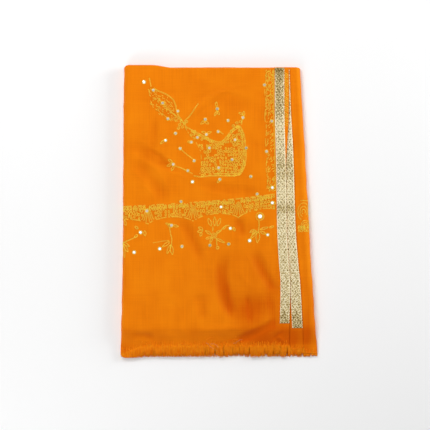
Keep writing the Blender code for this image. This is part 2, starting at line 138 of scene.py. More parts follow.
# Creases of the front third: from x0, y0 to x1, y1, a sideways bow, half width and height. creaseRows
# follow the solids' creases, some of them shallower, and fineCreaseRows are found only here.
creaseRows = (
    (-162, 124, -72, 66, 1, 15, -1.3),
    (-150, 94, -88, 18, 3, 17, -1.7),
    (-66, 150, 30, 216, 8, 9, 1.4),
    (-52, 186, 88, 168, 12, 16, -0.5),
    (-42, 52, 78, 35, -4, 13, -1.1),
    (-111, 168, -116, 96, 1, 11, -0.8),
    (-70, -6, -28, -92, 4, 14, -1.6),
    (10, -62, 32, -192, -15, 17, -2.7),
    (58, -58, 104, -146, -4, 14, -2.0),
    (-36, -136, -26, -186, 0, 14, -1.3),
    (20, -224, 108, -182, -3, 12, -2.2),
    (-156, -214, -106, -218, 5, 9, -1.1),
    (-40, -203, 52, -196, 0, 9, 0.9),
)
fineCreaseRows = (
    (-42, 180, 64, 224, 7, 3.2, 0.60),
    (-44, 190, 20, 214, 6, 7.0, -0.40),
    (-109, 176, -110, 116, 0, 2.6, -0.40),
    (-47, 246, -48, 190, 0, 3.0, 0.25),
    (-128, 112, -78, 72, 4, 6.0, -1.20),
    (-110, 90, -66, 66, 2, 8.0, -1.10),
    (-92, 70, -52, 58, 2, 4.0, 0.45),
    (-34, -210, 50, -208, 1, 2.4, 0.55),
    (-120, -206, -46, -211, -2, 3.0, 0.35),
    (99, -210, 116, -229, 1, 2.4, 1.50),
    (96, -214, 112, -231, 1, 2.6, -1.30),
    (88, -222, 112, -204, 2, 4.0, -1.00),
    (30, -226, 104, -186, -5, 3.4, 0.80),
    (16, -66, 22, -150, -8, 5.0, -0.70),
    (70, -84, 100, -136, 5, 4.0, 0.45),
    (40, -60, 60, -128, 6, 4.0, 0.40),
    (-20, 44, 60, 30, 3, 4.0, 0.35),
    (-60, -30, -40, -84, 3, 4.0, 0.35),
    (60, 208, 96, 182, 4, 4.0, -0.45),
    (-20, 200, 44, 196, 4, 4.0, -0.40),
    (-150, 60, -112, 34, 4, 5.0, -0.35),
    (-96, -150, -60, -176, 4, 6.0, -0.40),
    (-140, -120, -120, -180, 5, 6.0, 0.30),
    (46, 120, 92, 108, 2, 5.0, -0.30),
    (14, -116, 22, -188, -3, 6.0, -1.30),
    (44, -134, 54, -198, 3, 8.0, -1.40),
    (80, -124, 92, -206, 4, 10.0, -1.50),
    (28, -8, 42, -46, 3, 9.0, -1.30),
    (30, -92, 62, -134, -4, 7.0, 0.60),
    (-8, -222, 20, -234, 2, 3.4, -0.80),
    (22, -229, 62, -216, 2, 3.0, -1.20),
)
# Broad hollows and swellings: x, y, half width, half length and height.
hollowRows = (
    (56, -164, 42, 32, -1.8),
    (37, -24, 24, 22, -1.3),
    (-120, 60, 46, 44, 1.0),
    (42, -110, 26, 44, 1.1),
    (-95, -120, 60, 70, 0.8),
)


def ease(value):
    t = np.clip(value, 0.0, 1.0)
    return t * t * (3 - 2 * t)


def bell(value):
    return np.maximum(0.0, 1 - value * value) ** 2


def mix(a, b, share):
    return a + (b - a) * share


def curveThrough(places, values):
    # A smooth curve through points given from high to low.
    places, values = np.array(places[::-1], float), np.array(values[::-1], float)
    steps = np.diff(values) / np.diff(places)
    inner = (values[2:] - values[:-2]) / (places[2:] - places[:-2])
    slopes = np.concatenate(([steps[0]], inner, [steps[-1]]))

    def at(y):
        y = np.clip(y, places[0], places[-1])
        k = np.clip(np.searchsorted(places, y, side="right") - 1, 0, len(places) - 2)
        span = places[k + 1] - places[k]
        t = (y - places[k]) / span
        return (
            (2 * t**3 - 3 * t**2 + 1) * values[k]
            + (t**3 - 2 * t**2 + t) * slopes[k] * span
            + (3 * t**2 - 2 * t**3) * values[k + 1]
            + (t**3 - t**2) * slopes[k + 1] * span
        )

    return at


outlineAt = {
    name: curveThrough([row[0] for row in outlineRows], [row[k] for row in outlineRows])
    for k, name in enumerate(outlineColumns)
}


def creaseLift(rows, x, y):
    total = 0.0
    for x0, y0, x1, y1, bow, halfWidth, height in rows:
        ax, ay = x1 - x0, y1 - y0
        length = math.hypot(ax, ay)
        t = np.clip(((x - x0) * ax + (y - y0) * ay) / length**2, 0.0, 1.0)
        across = ((y - y0) * ax - (x - x0) * ay) / length
        ends = ease(t / 0.3) * ease((1 - t) / 0.3)
        total = total + height * ends * bell((across - bow * 4 * t * (1 - t)) / halfWidth)
    return total


def hollowLift(x, y):
    return sum(h * bell(np.hypot((x - cx) / hx, (y - cy) / hy)) for cx, cy, hx, hy, h in hollowRows)


def makeRipple(seed, waveLength, height, count=14, stretch=1.0):
    # Uneven small waves: a sum of plane waves in random directions.
    rng = random.Random(seed)
    waves = []
    for _ in range(count):
        turn, size = rng.uniform(0, math.tau), waveLength * rng.uniform(0.6, 1.9)
        waves.append((math.cos(turn) / size, math.sin(turn) / size / stretch, rng.uniform(0, 1)))

    def at(x, y):
        return height * sum(np.sin(math.tau * (a * x + b * y + c)) for a, b, c in waves) / math.sqrt(count)

    return at


clothRipple = makeRipple(4, 26.0, 0.10)
hemRipple = makeRipple(12, 16.0, 0.35, stretch=2.2)
sideRipple = makeRipple(16, 34.0, 0.28)
endRipple = makeRipple(21, 15.0, 0.6)


def inBody(y):
    return ease((y - bundle["hemFoot"]) / (bundle["hemTop"] - bundle["hemFoot"]))


def atHem(y):
    return ease((drape["hemFrom"] - y) / drape["hemWidth"])


def rightHeight(x, y):
    height = mix(bundle["rightAtHem"], bundle["rightThird"], inBody(y))
    fromEnd = ease((y - bundle["bundleEnd"]) / (bundle["hemFoot"] - bundle["bundleEnd"]))
    height = mix(bundle["rightAtEnd"], height, fromEnd)
    full = (height - bundle["rightAtEnd"]) / (bundle["rightThird"] - bundle["rightAtEnd"])
    dipDepth, dipWidth, dipShift = bundle["dip"]
    swellHeight, swellWidth, swellShift = bundle["swell"]
    dip = bell((x - outlineAt["innerTape"](y)) / dipWidth - dipShift)
    swell = bell((x - outlineAt["rightFold"](y) + bundle["rightRound"]) / swellWidth + swellShift)
    return height + full * (swellHeight * swell - dipDepth * dip)


def secondHeight(x, y):
    return rightHeight(x, y) + bundle["secondOverRight"] - drape["hemPressed"][1] * atHem(y)


def wideFolds(x, y):
    return creaseLift(creaseRows, x, y) + hollowLift(x, y)


def betweenEnds(y, atFringe, atTop):
    return ease((y - bundle["frontEnd"]) / atFringe) * ease((bundle["topOfFront"] - y) / atTop)


def frontHeight(x, y):
    edge = outlineAt["outerTape"](y)
    fromEdge = ease((edge - x) / bundle["loftWidth"])
    besideTape = ease((edge - bundle["outerTapeWidth"] / 2 - x) / drape["edgeFade"])
    loose = ease((drape["looseBelow"][0] - y) / drape["looseBelow"][1])
    calm = mix(drape["leastCrease"], 1.0, np.maximum(besideTape, loose))
    folds = wideFolds(x, y) * betweenEnds(y, drape["endFade"], drape["endFade"]) * drape["creaseGain"]
    nearEnds = betweenEnds(y, *drape["fineFade"])
    fine = (creaseLift(fineCreaseRows, x, y) + clothRipple(x, y)) * nearEnds
    fine = fine + hemRipple(x, y) * bell((y - drape["hemRipple"][0]) / drape["hemRipple"][1]) * nearEnds
    over = bundle["frontOverSecond"] + bundle["loft"] * inBody(y) * fromEdge + (folds + fine) * calm
    pressed = atHem(y) * (1 - ease((edge - x) / drape["hemEdge"]))
    over = over - drape["hemPressed"][0] * pressed
    # Where the second ply lies beneath, the front one cannot sink into it.
    before, width, thick = drape["overPlies"]
    least = mix(-9.0, thick, ease((x - outlineAt["innerTape"](y) + bundle["secondHidden"] + before) / width))
    gap = over - least
    over = least + 0.5 * (gap + np.sqrt(gap * gap + drape["soften"]))
    return secondHeight(x, y) + over


# Patches of painted shade (a share above 0) and painted light (below 0): x from and to, y from and to, and
# the share that it grows to.
paintedShadeRows = (
    (-30, 60, -40, -150, 0.31),
    (6, 38, -6, -30, 0.09),
    (-190, -150, -188, -206, 0.20),
    (20, 90, -176, -212, 0.26),
    (128, 142, -40, -120, -0.28),
    (138, 148, -130, -176, 0.34),
    (151, 162, -120, -200, -0.50),
    (-146, -166, -216, -238, 0.45),
)


def paintedShadeAndLight(x, y):
    # 0 on open cloth, up to about 1 of painted shade in the folds of the lower right corner and along the
    # hem, below 0 for painted light over the right fold.
    folds = wideFolds(x, y) * drape["creaseGain"] + creaseLift(fineCreaseRows, x, y)
    depth = paintedShading["inCrease"] * np.clip(-folds, 0.0, paintedShading["deepest"])
    for xFrom, xTo, yFrom, yTo, share in paintedShadeRows:
        depth = depth + share * ease((x - xFrom) / (xTo - xFrom)) * ease((y - yFrom) / (yTo - yFrom))
    inside, width = paintedShading["overFold"]
    low, length = paintedShading["upTheFold"]
    overFold = ease((x - outlineAt["rightFold"](y) + inside) / width) * ease((y - low) / length)
    # Painted shadow under the close embroidery, and painted light over the right fold.
    depth = depth + paintedShading["stitched"] * underStitches(x, y) - paintedShading["paintedLightOverFold"] * overFold
    # At the fringe the painted shade is weaker, but not in the left corner, where it stands for the shade of
    # the fold.
    corner, cornerWidth = paintedShading["leftCorner"]
    inCloth = np.maximum(ease((y - bundle["frontEnd"]) / paintedShading["endWidth"]), ease((corner - x) / cornerWidth))
    return np.clip(depth * mix(paintedShading["atEnd"], 1.0, inCloth), *paintedShading["range"])


def topLine(x):
    start, width = bundle["topStep"]
    return mix(bundle["topAtLeft"], bundle["topOfFront"], ease((x - start) / width))


def frontEndLine(x):
    corner = outlineRows[-1][1]
    return mix(bundle["frontEndAtFold"], bundle["frontEnd"], ease((x - corner) / bundle["frontEndSlant"]))


def cornerDrop(theta):
    # How far a side fold's corner stands back from the top line, so that the corner is round from above.
    return bundle["cornerRound"] * (1 - math.sqrt(max(1 - 0.96 * math.sin(min(theta, math.pi)) ** 2, 0.0)))


def frontRoll(x):
    # The radius of the front third's own top fold: half of its height over the right third.
    y = bundle["topOfFront"] - drape["endFade"]
    loft = bundle["loft"] * ease((outlineAt["outerTape"](y) - x) / bundle["loftWidth"])
    return (secondHeight(x, y) + bundle["frontOverSecond"] + loft - rightHeight(x, y) - 0.3) / 2


foldRadius = {"front": 8.2, "right": 7.2}      # so long is the way round each side fold, over pi
foldBulge = {"pace": 12, "shift": 60, "inward": 0.2, "from": 0.05}     # uneven waves down the side folds


def sideFold(side, y):
    # Of the left (side -1) or right (side 1) fold: its centre, half width, radius and outside height.
    if side < 0:
        half = bundle["leftRound"]
        return outlineAt["leftFold"](y) + half, half, foldRadius["front"], frontHeight
    half = bundle["rightRound"]
    return outlineAt["rightFold"](y) - half, half, foldRadius["right"], rightHeight


def aroundFold(side, theta, y, inset):
    # A point on a side fold, theta from the top round to the floor.
    centre, half, _, height = sideFold(side, y)
    rise = height(centre, y) / 2
    wave = sideRipple(theta * foldBulge["pace"] + foldBulge["shift"] * side, y)
    bulge = wave * np.sin(theta) ** 2 - foldBulge["inward"]
    x = centre + side * (half - inset + bulge * (np.sin(theta) > foldBulge["from"])) * np.sin(theta)
    return x, rise + (rise - inset) * np.cos(theta)


# Unrolled places: u is X on top of the bundle and runs on round a side fold and along the floor, v is Y
# and runs on over the top fold.
def placeAround(side, u, y, inset):
    centre, _, radius, height = sideFold(side, y)
    past = side * (u - centre)
    floorRun = np.maximum(past - math.pi * radius, 0.0)
    onTop, onFloor = past <= 0, floorRun > 0
    foldX, foldZ = aroundFold(side, np.clip(past / radius, 0.0, math.pi), y, inset)
    x = np.where(onTop, u, np.where(onFloor, centre - side * floorRun, foldX))
    z = np.where(onTop, height(np.where(onTop, u, centre), y) - inset, np.where(onFloor, inset, foldZ))
    return x, z


placeFront, placeRight = partial(placeAround, -1), partial(placeAround, 1)


def placeSecond(u, y, inset):
    return u, secondHeight(u, y) - inset


def overTop(place, u, v, lift, top, roll):
    # Points at u, v, raised by lift, which follow the top fold round where v runs past it.
    angle = np.maximum(v - (top - roll), 0.0) / roll
    y = np.where(angle > 0, top - roll + (roll + lift) * np.sin(angle), v)
    inset = np.where(angle > 0, roll - (roll + lift) * np.cos(angle), -lift)
    x, z = place(u, y, inset)
    return np.stack(np.broadcast_arrays(x, y, z), axis=-1)


def onFront(u, v, lift=0.0):
    u, v = np.asarray(u, float), np.asarray(v, float)
    centre = outlineAt["leftFold"](v) + bundle["leftRound"]
    share = np.clip((centre - u) / (math.pi * foldRadius["front"]), 0.0, 1.0)
    top = mix(topLine(u), bundle["topOfRight"], share)
    roll = mix(frontRoll(np.maximum(u, centre)), bundle["lowerRoll"], share)
    return overTop(placeFront, u, v, lift, top, roll)


def onRight(u, v, lift=0.0):
    u, v = np.asarray(u, float), np.asarray(v, float)
    return overTop(placeRight, u, v, lift, bundle["topOfRight"], bundle["lowerRoll"])


# The solids were moved so that their box stands centred on the origin. The same move is read from them.
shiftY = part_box("front_third")[1][1] / mm - bundle["topAtLeft"]
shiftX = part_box("right_fold")[1][0] / mm - float(outlineAt["rightFold"](bundle["rightEnd"]))
print(f"move of the solids: {shiftX:.2f}, {shiftY:.2f} mm")


def toWorld(points):
    points = np.asarray(points, float).reshape(-1, 3)
    return (points + (shiftX, shiftY, 0.0)) * mm


def addPiece(name, points, faces, material, uvs=None, depth=None):
    mesh = bpy.data.meshes.new(name)
    mesh.from_pydata(toWorld(points).tolist(), [], faces)
    mesh.validate()
    if uvs is not None:
        layer = mesh.uv_layers.new(name="clothUv")
        corners = np.empty(len(mesh.loops), dtype=np.int32)
        mesh.loops.foreach_get("vertex_index", corners)
        layer.data.foreach_set("uv", (np.asarray(uvs, float)[corners] * mm).ravel())
    # The painted shade and light of the cloth, kept on each point for the cloth's finish.
    if depth is not None:
        values = mesh.attributes.new("paintedShadeAndLight", "FLOAT", "POINT").data
        values.foreach_set("value", np.asarray(depth, np.float32))
    mesh.shade_smooth()
    mesh.materials.append(material)
    piece = bpy.data.objects.new(name, mesh)
    bpy.context.scene.collection.objects.link(piece)
    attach(piece, "root")
    return piece


def gridFaces(rows, columns, start, flip):
    index = np.arange(rows * columns).reshape(rows, columns) + start
    corners = (index[:-1, :-1], index[:-1, 1:], index[1:, 1:], index[1:, :-1])
    quads = np.stack(corners, axis=-1).reshape(-1, 4)
    return (quads[:, ::-1] if flip else quads).tolist()


def shellFaces(rows, columns, start=0, flip=False):
    # Two grids of points, one after the other, and the rim that joins them.
    count = rows * columns
    faces = gridFaces(rows, columns, start, flip) + gridFaces(rows, columns, start + count, not flip)
    index = np.arange(count).reshape(rows, columns) + start
    rim = np.concatenate((index[0], index[1:, -1], index[-1, -2::-1], index[-2:0:-1, 0]))
    for a, b in zip(rim, np.roll(rim, -1)):
        quad = [int(a), int(b), int(b + count), int(a + count)]
        faces.append(quad if flip else quad[::-1])
    return faces


def shellPiece(name, outer, inner, uv, material, flip=False, withPaintedShade=False):
    # A closed thin shell between two grids of points: rows x columns x 3.
    points = np.concatenate((outer.reshape(-1, 3), inner.reshape(-1, 3)))
    uvs = np.concatenate((uv.reshape(-1, 2), uv.reshape(-1, 2)))
    # Cloth sheets carry their painted shade and light.
    depth = paintedShadeAndLight(points[:, 0], points[:, 1]) if withPaintedShade else None
    return addPiece(name, points, shellFaces(*outer.shape[:2], 0, flip), material, uvs, depth)


# Shader helpers.
def feed(tree, socket, value):
    if isinstance(value, bpy.types.NodeSocket):
        tree.links.new(value, socket)
    else:
        socket.default_value = value


def addNode(tree, kind, inputs=None, **settings):
    made = tree.nodes.new(kind)
    for key, value in settings.items():
        setattr(made, key, value)
    for key, value in (inputs or {}).items():
        feed(tree, made.inputs[key], value)
    return made


def maths(tree, operation, *values):
    made = tree.nodes.new("ShaderNodeMath")
    made.operation = operation
    for k, value in enumerate(values):
        feed(tree, made.inputs[k], value)
    return made.outputs[0]


socketNames = {
    "colour": "Base Color",
    "roughness": "Roughness",
    "metallic": "Metallic",
    "specular": "Specular IOR Level",
    "specularTint": "Specular Tint",
    "sheen": "Sheen Weight",
    "sheenRoughness": "Sheen Roughness",
    "sheenTint": "Sheen Tint",
}


def newMaterial(name, **settings):
    # A new material, its tree and its shader. Settings such as specularTint go straight to its sockets.
    material = bpy.data.materials.new(name)
    material.use_nodes = True
    shader = material.node_tree.nodes["Principled BSDF"]
    for key, value in settings.items():
        socket = shader.inputs[socketNames[key]]
        socket.default_value = (*value, 1.0) if isinstance(value, tuple) else value
    return material, material.node_tree, shader


def arithmetic(tree, *operations):
    return [partial(maths, tree, operation) for operation in operations]


def clothCoordinates(tree):
    # The cloth's own u and v, in millimetres.
    uvMap = addNode(tree, "ShaderNodeUVMap", uv_map="clothUv")
    parts = addNode(tree, "ShaderNodeSeparateXYZ", {"Vector": uvMap.outputs[0]})
    return [maths(tree, "MULTIPLY", parts.outputs[k], 1 / mm) for k in (0, 1)]


def streakNoise(tree, u, v, sizeU, sizeV, detail=2.0):
    place = addNode(tree, "ShaderNodeCombineXYZ", {
        "X": maths(tree, "DIVIDE", u, sizeU), "Y": maths(tree, "DIVIDE", v, sizeV)})
    return addNode(tree, "ShaderNodeTexNoise", {
        "Vector": place.outputs[0], "Scale": 1.0, "Detail": detail}).outputs[0]


def addBump(tree, shader, height, strength, distance):
    bump = addNode(tree, "ShaderNodeBump", {
        "Height": height, "Strength": strength, "Distance": distance * mm})
    feed(tree, shader.inputs["Normal"], bump.outputs[0])


def colourRamp(tree, factor, stops):
    made = addNode(tree, "ShaderNodeValToRGB", {"Fac": factor})
    ramp = made.color_ramp
    while len(ramp.elements) < len(stops):
        ramp.elements.new(0.5)
    for element, (position, colour) in zip(ramp.elements, stops):
        element.position = position
        element.color = (*colour, 1.0)
    return made.outputs[0]


clothLook = {
    # The first stop is the colour of painted shade in the folds; the second is reached by the cloth's uneven
    # tone and by painted shade.
    "folded": (0.66, 0.098, 0.0010),
    "deep": (0.77, 0.168, 0.0022),
    "middle": (0.86, 0.212, 0.0030),
    "light": (0.93, 0.262, 0.0045),
    "threadPitch": 0.46,
    "weaveDepth": 0.045,
    "roughness": 0.62,
    "sheen": 0.22,
}


def clothMaterial(name, look, shade=1.0):
    material, tree, shader = newMaterial(
        name, sheen=look["sheen"], sheenRoughness=0.4, sheenTint=(1.0, 0.42, 0.03), specular=0.35,
        specularTint=(1.0, 0.40, 0.03))
    plus, minus, times, sine = arithmetic(tree, "ADD", "SUBTRACT", "MULTIPLY", "SINE")
    u, v = clothCoordinates(tree)
    warp = streakNoise(tree, u, v, 1.1, 70.0)
    weft = streakNoise(tree, u, v, 55.0, 1.3)
    broad = streakNoise(tree, u, v, 34.0, 48.0, 1.0)
    tone = plus(plus(times(warp, 0.36), times(weft, 0.24)), times(broad, 0.4))
    # Painted shade: the colour darkens with the painted shade kept on the mesh, and turns paler where that is
    # below 0.
    depth = addNode(tree, "ShaderNodeAttribute", attribute_name="paintedShadeAndLight")
    tone = minus(tone, times(depth.outputs["Fac"], 0.5))
    stops = [(0.0, look["folded"]), (0.30, look["deep"]), (0.5, look["middle"]), (0.74, look["light"])]
    stops = [(place, tuple(c * shade for c in colour)) for place, colour in stops]
    feed(tree, shader.inputs["Base Color"], colourRamp(tree, tone, stops))
    # Plain weave: threads that pass over and under each other.
    pace = math.pi / look["threadPitch"]
    waves = []
    for coordinate, other in ((u, v), (v, u)):
        ridge = maths(tree, "ABSOLUTE", sine(times(coordinate, pace)))
        waves.append(times(ridge, plus(sine(times(other, pace)), 1.2)))
    weave = maths(tree, "MAXIMUM", *waves)
    slub = plus(times(warp, 1.5), times(weft, 1.0))
    addBump(tree, shader, plus(times(weave, 0.35), slub), 0.55, look["weaveDepth"])
    feed(tree, shader.inputs["Roughness"], plus(times(tone, 0.12), look["roughness"] - 0.06))
    return material


tapeLook = {
    "dark": (0.17, 0.100, 0.020),
    "olive": (0.42, 0.300, 0.095),
    "cream": (0.80, 0.640, 0.33),
    "light": (1.0, 0.90, 0.62),
    "cellAcross": 5.5,
    "cellAlong": 9.0,
    "edgeCord": 0.9,
    "relief": 0.20,
    "under": 0.06,                # the back and the face of the tape lie this high over the cloth
    "face": 0.34,
    "stepAcross": 0.62,
    "stepAlong": 0.78,
    "metal": 0.35,
    # Painted reflection: bands along the tape, lighter where the metal thread would catch the light and
    # darker where it would not: place along the tape and how light it is.
    "paintedSheenBands": [(-250, 0.42), (-185, 0.50), (-160, 0.70), (-60, 0.80), (-12, 0.80), (8, 0.60), (24, 0.84),
                (50, 0.80), (74, 0.62), (100, 0.74), (154, 0.80), (172, 0.56), (228, 0.52), (242, 0.28),
                (250, 0.26)],
    "paintedSheenFrom": 250.0,         # the curve starts this far below the origin and is this long
    "paintedSheenLength": 520.0,
}


def tapeMaterial(name, look, width):
    material, tree, shader = newMaterial(name, metallic=look["metal"], specularTint=look["light"])
    plus, minus, times, divide = arithmetic(tree, "ADD", "SUBTRACT", "MULTIPLY", "DIVIDE")
    least, most, size = arithmetic(tree, "MINIMUM", "MAXIMUM", "ABSOLUTE")
    u, v = clothCoordinates(tree)
    sway = times(minus(streakNoise(tree, u, v, 3.4, 5.0), 0.5), 0.5)
    slants = []
    for sign in (1, -1):
        slant = plus(divide(u, look["cellAcross"]), times(v, sign / look["cellAlong"]))
        slants.append(size(minus(maths(tree, "FRACT", plus(slant, sway)), 0.5)))
    near, far = least(*slants), most(*slants)
    line = most(minus(1.0, times(near, 5.0)), 0.0)
    seed = times(most(minus(near, 0.30), 0.0), 5.0)
    mottle = streakNoise(tree, u, v, 2.0, 2.7, 2.0)
    patch = streakNoise(tree, u, v, 6.0, 13.0, 1.0)
    start, length = look["paintedSheenFrom"], look["paintedSheenLength"]
    # Painted reflection: lighter and darker bands along the tape.
    bands = addNode(tree, "ShaderNodeFloatCurve", {"Value": divide(plus(v, start), length)})
    curve = bands.mapping.curves[0]
    for k, (place, level) in enumerate(look["paintedSheenBands"]):
        spot = ((place + start) / length, level)
        if k < 1:
            curve.points[0].location = spot
        else:
            curve.points.new(*spot)
    bands.mapping.update()
    tone = plus(bands.outputs[0], times(minus(mottle, 0.48), 2.3))
    tone = minus(plus(tone, times(minus(patch, 0.5), 0.6)), times(line, 0.5))
    tone = minus(plus(tone, times(minus(far, 0.35), 0.5)), seed)
    for cord in (0.5, width - 0.5):
        reach = divide(size(minus(u, cord)), look["edgeCord"])
        tone = plus(tone, times(most(minus(1.0, reach), 0.0), 0.5))
    stops = [(0.05, look["dark"]), (0.30, look["olive"]), (0.56, look["cream"]), (0.88, look["light"])]
    feed(tree, shader.inputs["Base Color"], colourRamp(tree, tone, stops))
    ribs = maths(tree, "SINE", times(v, math.tau / 0.55))
    addBump(tree, shader, plus(times(ribs, 0.25), times(mottle, 1.6)), 0.8, 0.08)
    feed(tree, shader.inputs["Roughness"], plus(times(line, 0.2), 0.34))
    return material


threadLook = {
    "light": (1.0, 0.755, 0.085),
    "dark": (1.0, 0.58, 0.030),
    "roughness": 0.36,
    "sheen": 0.9,
}


def threadMaterial(name, look):
    material, tree, shader = newMaterial(
        name, roughness=look["roughness"], specularTint=look["light"], sheen=look.get("sheen", 0.0),
        sheenRoughness=0.35, sheenTint=look["light"])
    coords = addNode(tree, "ShaderNodeTexCoord")
    drawn = addNode(tree, "ShaderNodeMapping", {
        "Vector": coords.outputs["Object"], "Scale": (1.0, look.get("drawn", 1.0), 1.0)})
    noise = addNode(tree, "ShaderNodeTexNoise", {
        "Vector": drawn.outputs[0], "Scale": 500.0, "Detail": 3.0}).outputs[0]      # a grain of 2 mm
    stops = [(0.32, look["dark"]), (0.62, look["light"])]
    feed(tree, shader.inputs["Base Color"], colourRamp(tree, noise, stops))
    addBump(tree, shader, noise, 0.4, 0.08)
    return material


saffronThreadLook = {
    "light": (1.0, 0.345, 0.011),
    "dark": (0.92, 0.215, 0.002),
    "roughness": 0.7,
    "drawn": 0.12,            # how much the grain is drawn out along the thread
}
paleThreadLook = {"light": (0.92, 0.62, 0.36), "dark": (0.80, 0.36, 0.08), "roughness": 0.5}
mirrorLook = {"colour": (0.95, 0.94, 0.94), "roughness": 0.08}
# Rougher, and darker and pinkish: a painted reflection of the cloth on the leaning mirrors.
dullMirrorPaintedReflectionLook = {"colour": (0.95, 0.78, 0.66), "roughness": 0.48}


def mirrorMaterial(name, look):
    material, tree, shader = newMaterial(name, metallic=1.0)
    coords = addNode(tree, "ShaderNodeTexCoord")
    noise = addNode(tree, "ShaderNodeTexNoise", {
        "Vector": coords.outputs["Object"], "Scale": 160.0, "Detail": 2.0}).outputs[0]
    dull = tuple(c * 0.8 for c in look["colour"])
    feed(tree, shader.inputs["Base Color"], colourRamp(tree, noise, [(0.35, dull), (0.6, look["colour"])]))
    feed(tree, shader.inputs["Roughness"], maths(tree, "MULTIPLY", noise, look["roughness"] * 2))
    return material


frontMaterial = clothMaterial("saffronFront", clothLook)
rightMaterial = clothMaterial("saffronRight", clothLook)
secondMaterial = clothMaterial("saffronSecond", clothLook)
# The hidden plies: the same cloth, darker, as painted shade.
innerShadedMaterial = clothMaterial("saffronInnerShaded", clothLook, 0.86)
goldThread = threadMaterial("goldThread", threadLook)
saffronThread = threadMaterial("saffronThread", saffronThreadLook)
paleThread = threadMaterial("paleThread", paleThreadLook)
mirrorGlass = mirrorMaterial("mirrorGlass", mirrorLook)
dullGlassPaintedReflection = mirrorMaterial("dullGlassPaintedReflection", dullMirrorPaintedReflectionLook)
print("finishes made")


# Sheets of cloth.
sheetDetail = {
    "frontAcross": 140,
    "frontFold": 22,
    "rightFloor": 10,
    "rightFold": 24,
    "rightTop": 26,
    "secondAcross": 22,
    "along": 215,
    "roll": 12,
}


def rightEndAt(u):
    return bundle["rightEnd"] + float(endRipple(u, 40.0))


def secondEndAt(u):
    return bundle["secondEnd"] + float(endRipple(u, 80.0))


def sheetGrid(us, endAt, topAt, rollAt, turnAt, place, depth, along, roll):
    # Rows run from the fringe end to the top fold and round it. us gives each column's u for any Y.
    columns = []
    for uAt, end, top, radius, turn in zip(us, endAt, topAt, rollAt, turnAt):
        straight = np.linspace(end, top - radius, along)
        angles = math.pi * turn * np.linspace(0, 1, roll + 1)[1:]
        y = np.concatenate((straight, top - radius + (radius - depth) * np.sin(angles)))
        inset = np.concatenate((np.full(along, float(depth)), radius - (radius - depth) * np.cos(angles)))
        u = uAt(y)
        x, z = place(u, y, inset)
        v = np.concatenate((straight, top - radius + radius * angles))
        columns.append((np.stack((x, y, z), axis=-1), np.stack((u, v), axis=-1)))
    return [np.stack([column[k] for column in columns], axis=1) for k in (0, 1)]


def beside(name, distance):
    return lambda y: outlineAt[name](y) + distance


def between(first, second, share):
    return lambda y: mix(first(y), second(y), share)


def buildSheet(name, us, ends, tops, rolls, turns, place, material, flip):
    detail = sheetDetail["along"], sheetDetail["roll"]
    outer, uv = sheetGrid(us, ends, tops, rolls, turns, place, 0.0, *detail)
    inner, _ = sheetGrid(us, ends, tops, rolls, turns, place, bundle["cloth"], *detail)
    return shellPiece(name, outer, inner, uv, material, flip, True)


def frontEndAt(u):
    # The Y of the front cloth's cut end, also where it runs round the left fold.
    centre = float(outlineAt["leftFold"](bundle["frontEnd"])) + bundle["leftRound"]
    share = min(max((centre - u) / (math.pi * foldRadius["front"]), 0.0), 1.0)
    return mix(float(frontEndLine(max(u, centre))), bundle["rightEnd"], share) + float(endRipple(u, 0.0))


def buildFront():
    freeEdge = lambda y: outlineAt["outerTape"](y) + outlineAt["margin"](y)
    foldTop = beside("leftFold", bundle["leftRound"])
    n, m = sheetDetail["frontAcross"], sheetDetail["frontFold"]
    us = [between(freeEdge, foldTop, k / n) for k in range(n + 1)]
    wrap = math.pi * foldRadius["front"]
    steps = [wrap * (k + 1) / m for k in range(m)] + [wrap + bundle["floorLap"]]
    us += [beside("leftFold", bundle["leftRound"] - step) for step in steps]
    ends, tops, rolls, turns = [], [], [], []
    tapeLeft = float(outlineAt["outerTape"](0)) - bundle["outerTapeWidth"]
    for k, uAt in enumerate(us):
        x = float(uAt(0.0))
        share = 0.0 if k <= n else min(steps[k - n - 1] / wrap, 1.0)
        ends.append(frontEndAt(float(uAt(bundle["frontEnd"]))))
        tops.append(mix(float(topLine(x)), bundle["topOfRight"], share) - cornerDrop(share * math.pi))
        rolls.append(mix(float(frontRoll(max(x, float(foldTop(0.0))))), bundle["lowerRoll"], share))
        turns.append(mix(bundle["looseTurn"], 1.0, float(ease((tapeLeft - x) / bundle["looseWidth"]))))
    return buildSheet("frontCloth", us, ends, tops, rolls, turns, placeFront, frontMaterial, True)


def buildRight():
    foldCentre = beside("rightFold", -bundle["rightRound"])
    hidden = beside("innerTape", -bundle["rightHidden"])
    seam = beside("leftFold", bundle["leftRound"] + bundle["floorLap"] + 0.05)
    wrap = math.pi * foldRadius["right"]
    n, m, floor = [sheetDetail[key] for key in ("rightTop", "rightFold", "rightFloor")]

    def floorAt(share):
        # On the floor u runs on from the fold, back towards the seam.
        return lambda y: foldCentre(y) + wrap + share * (foldCentre(y) - seam(y))

    us = [between(hidden, foldCentre, k / n) for k in range(n + 1)]
    us += [beside("rightFold", wrap * (k + 1) / m - bundle["rightRound"]) for k in range(m)]
    us += [floorAt((k + 1) / floor) for k in range(floor)]
    count = len(us)
    ends = [rightEndAt(float(uAt(bundle["rightEnd"]))) for uAt in us]
    rolls, turns = [bundle["lowerRoll"]] * count, [1.0] * count
    bends = [(float(uAt(0.0)) - float(foldCentre(0.0))) / wrap * math.pi for uAt in us]
    tops = [bundle["topOfRight"] - cornerDrop(max(bend, 0.0)) for bend in bends]
    return buildSheet("rightCloth", us, ends, tops, rolls, turns, placeRight, rightMaterial, False)


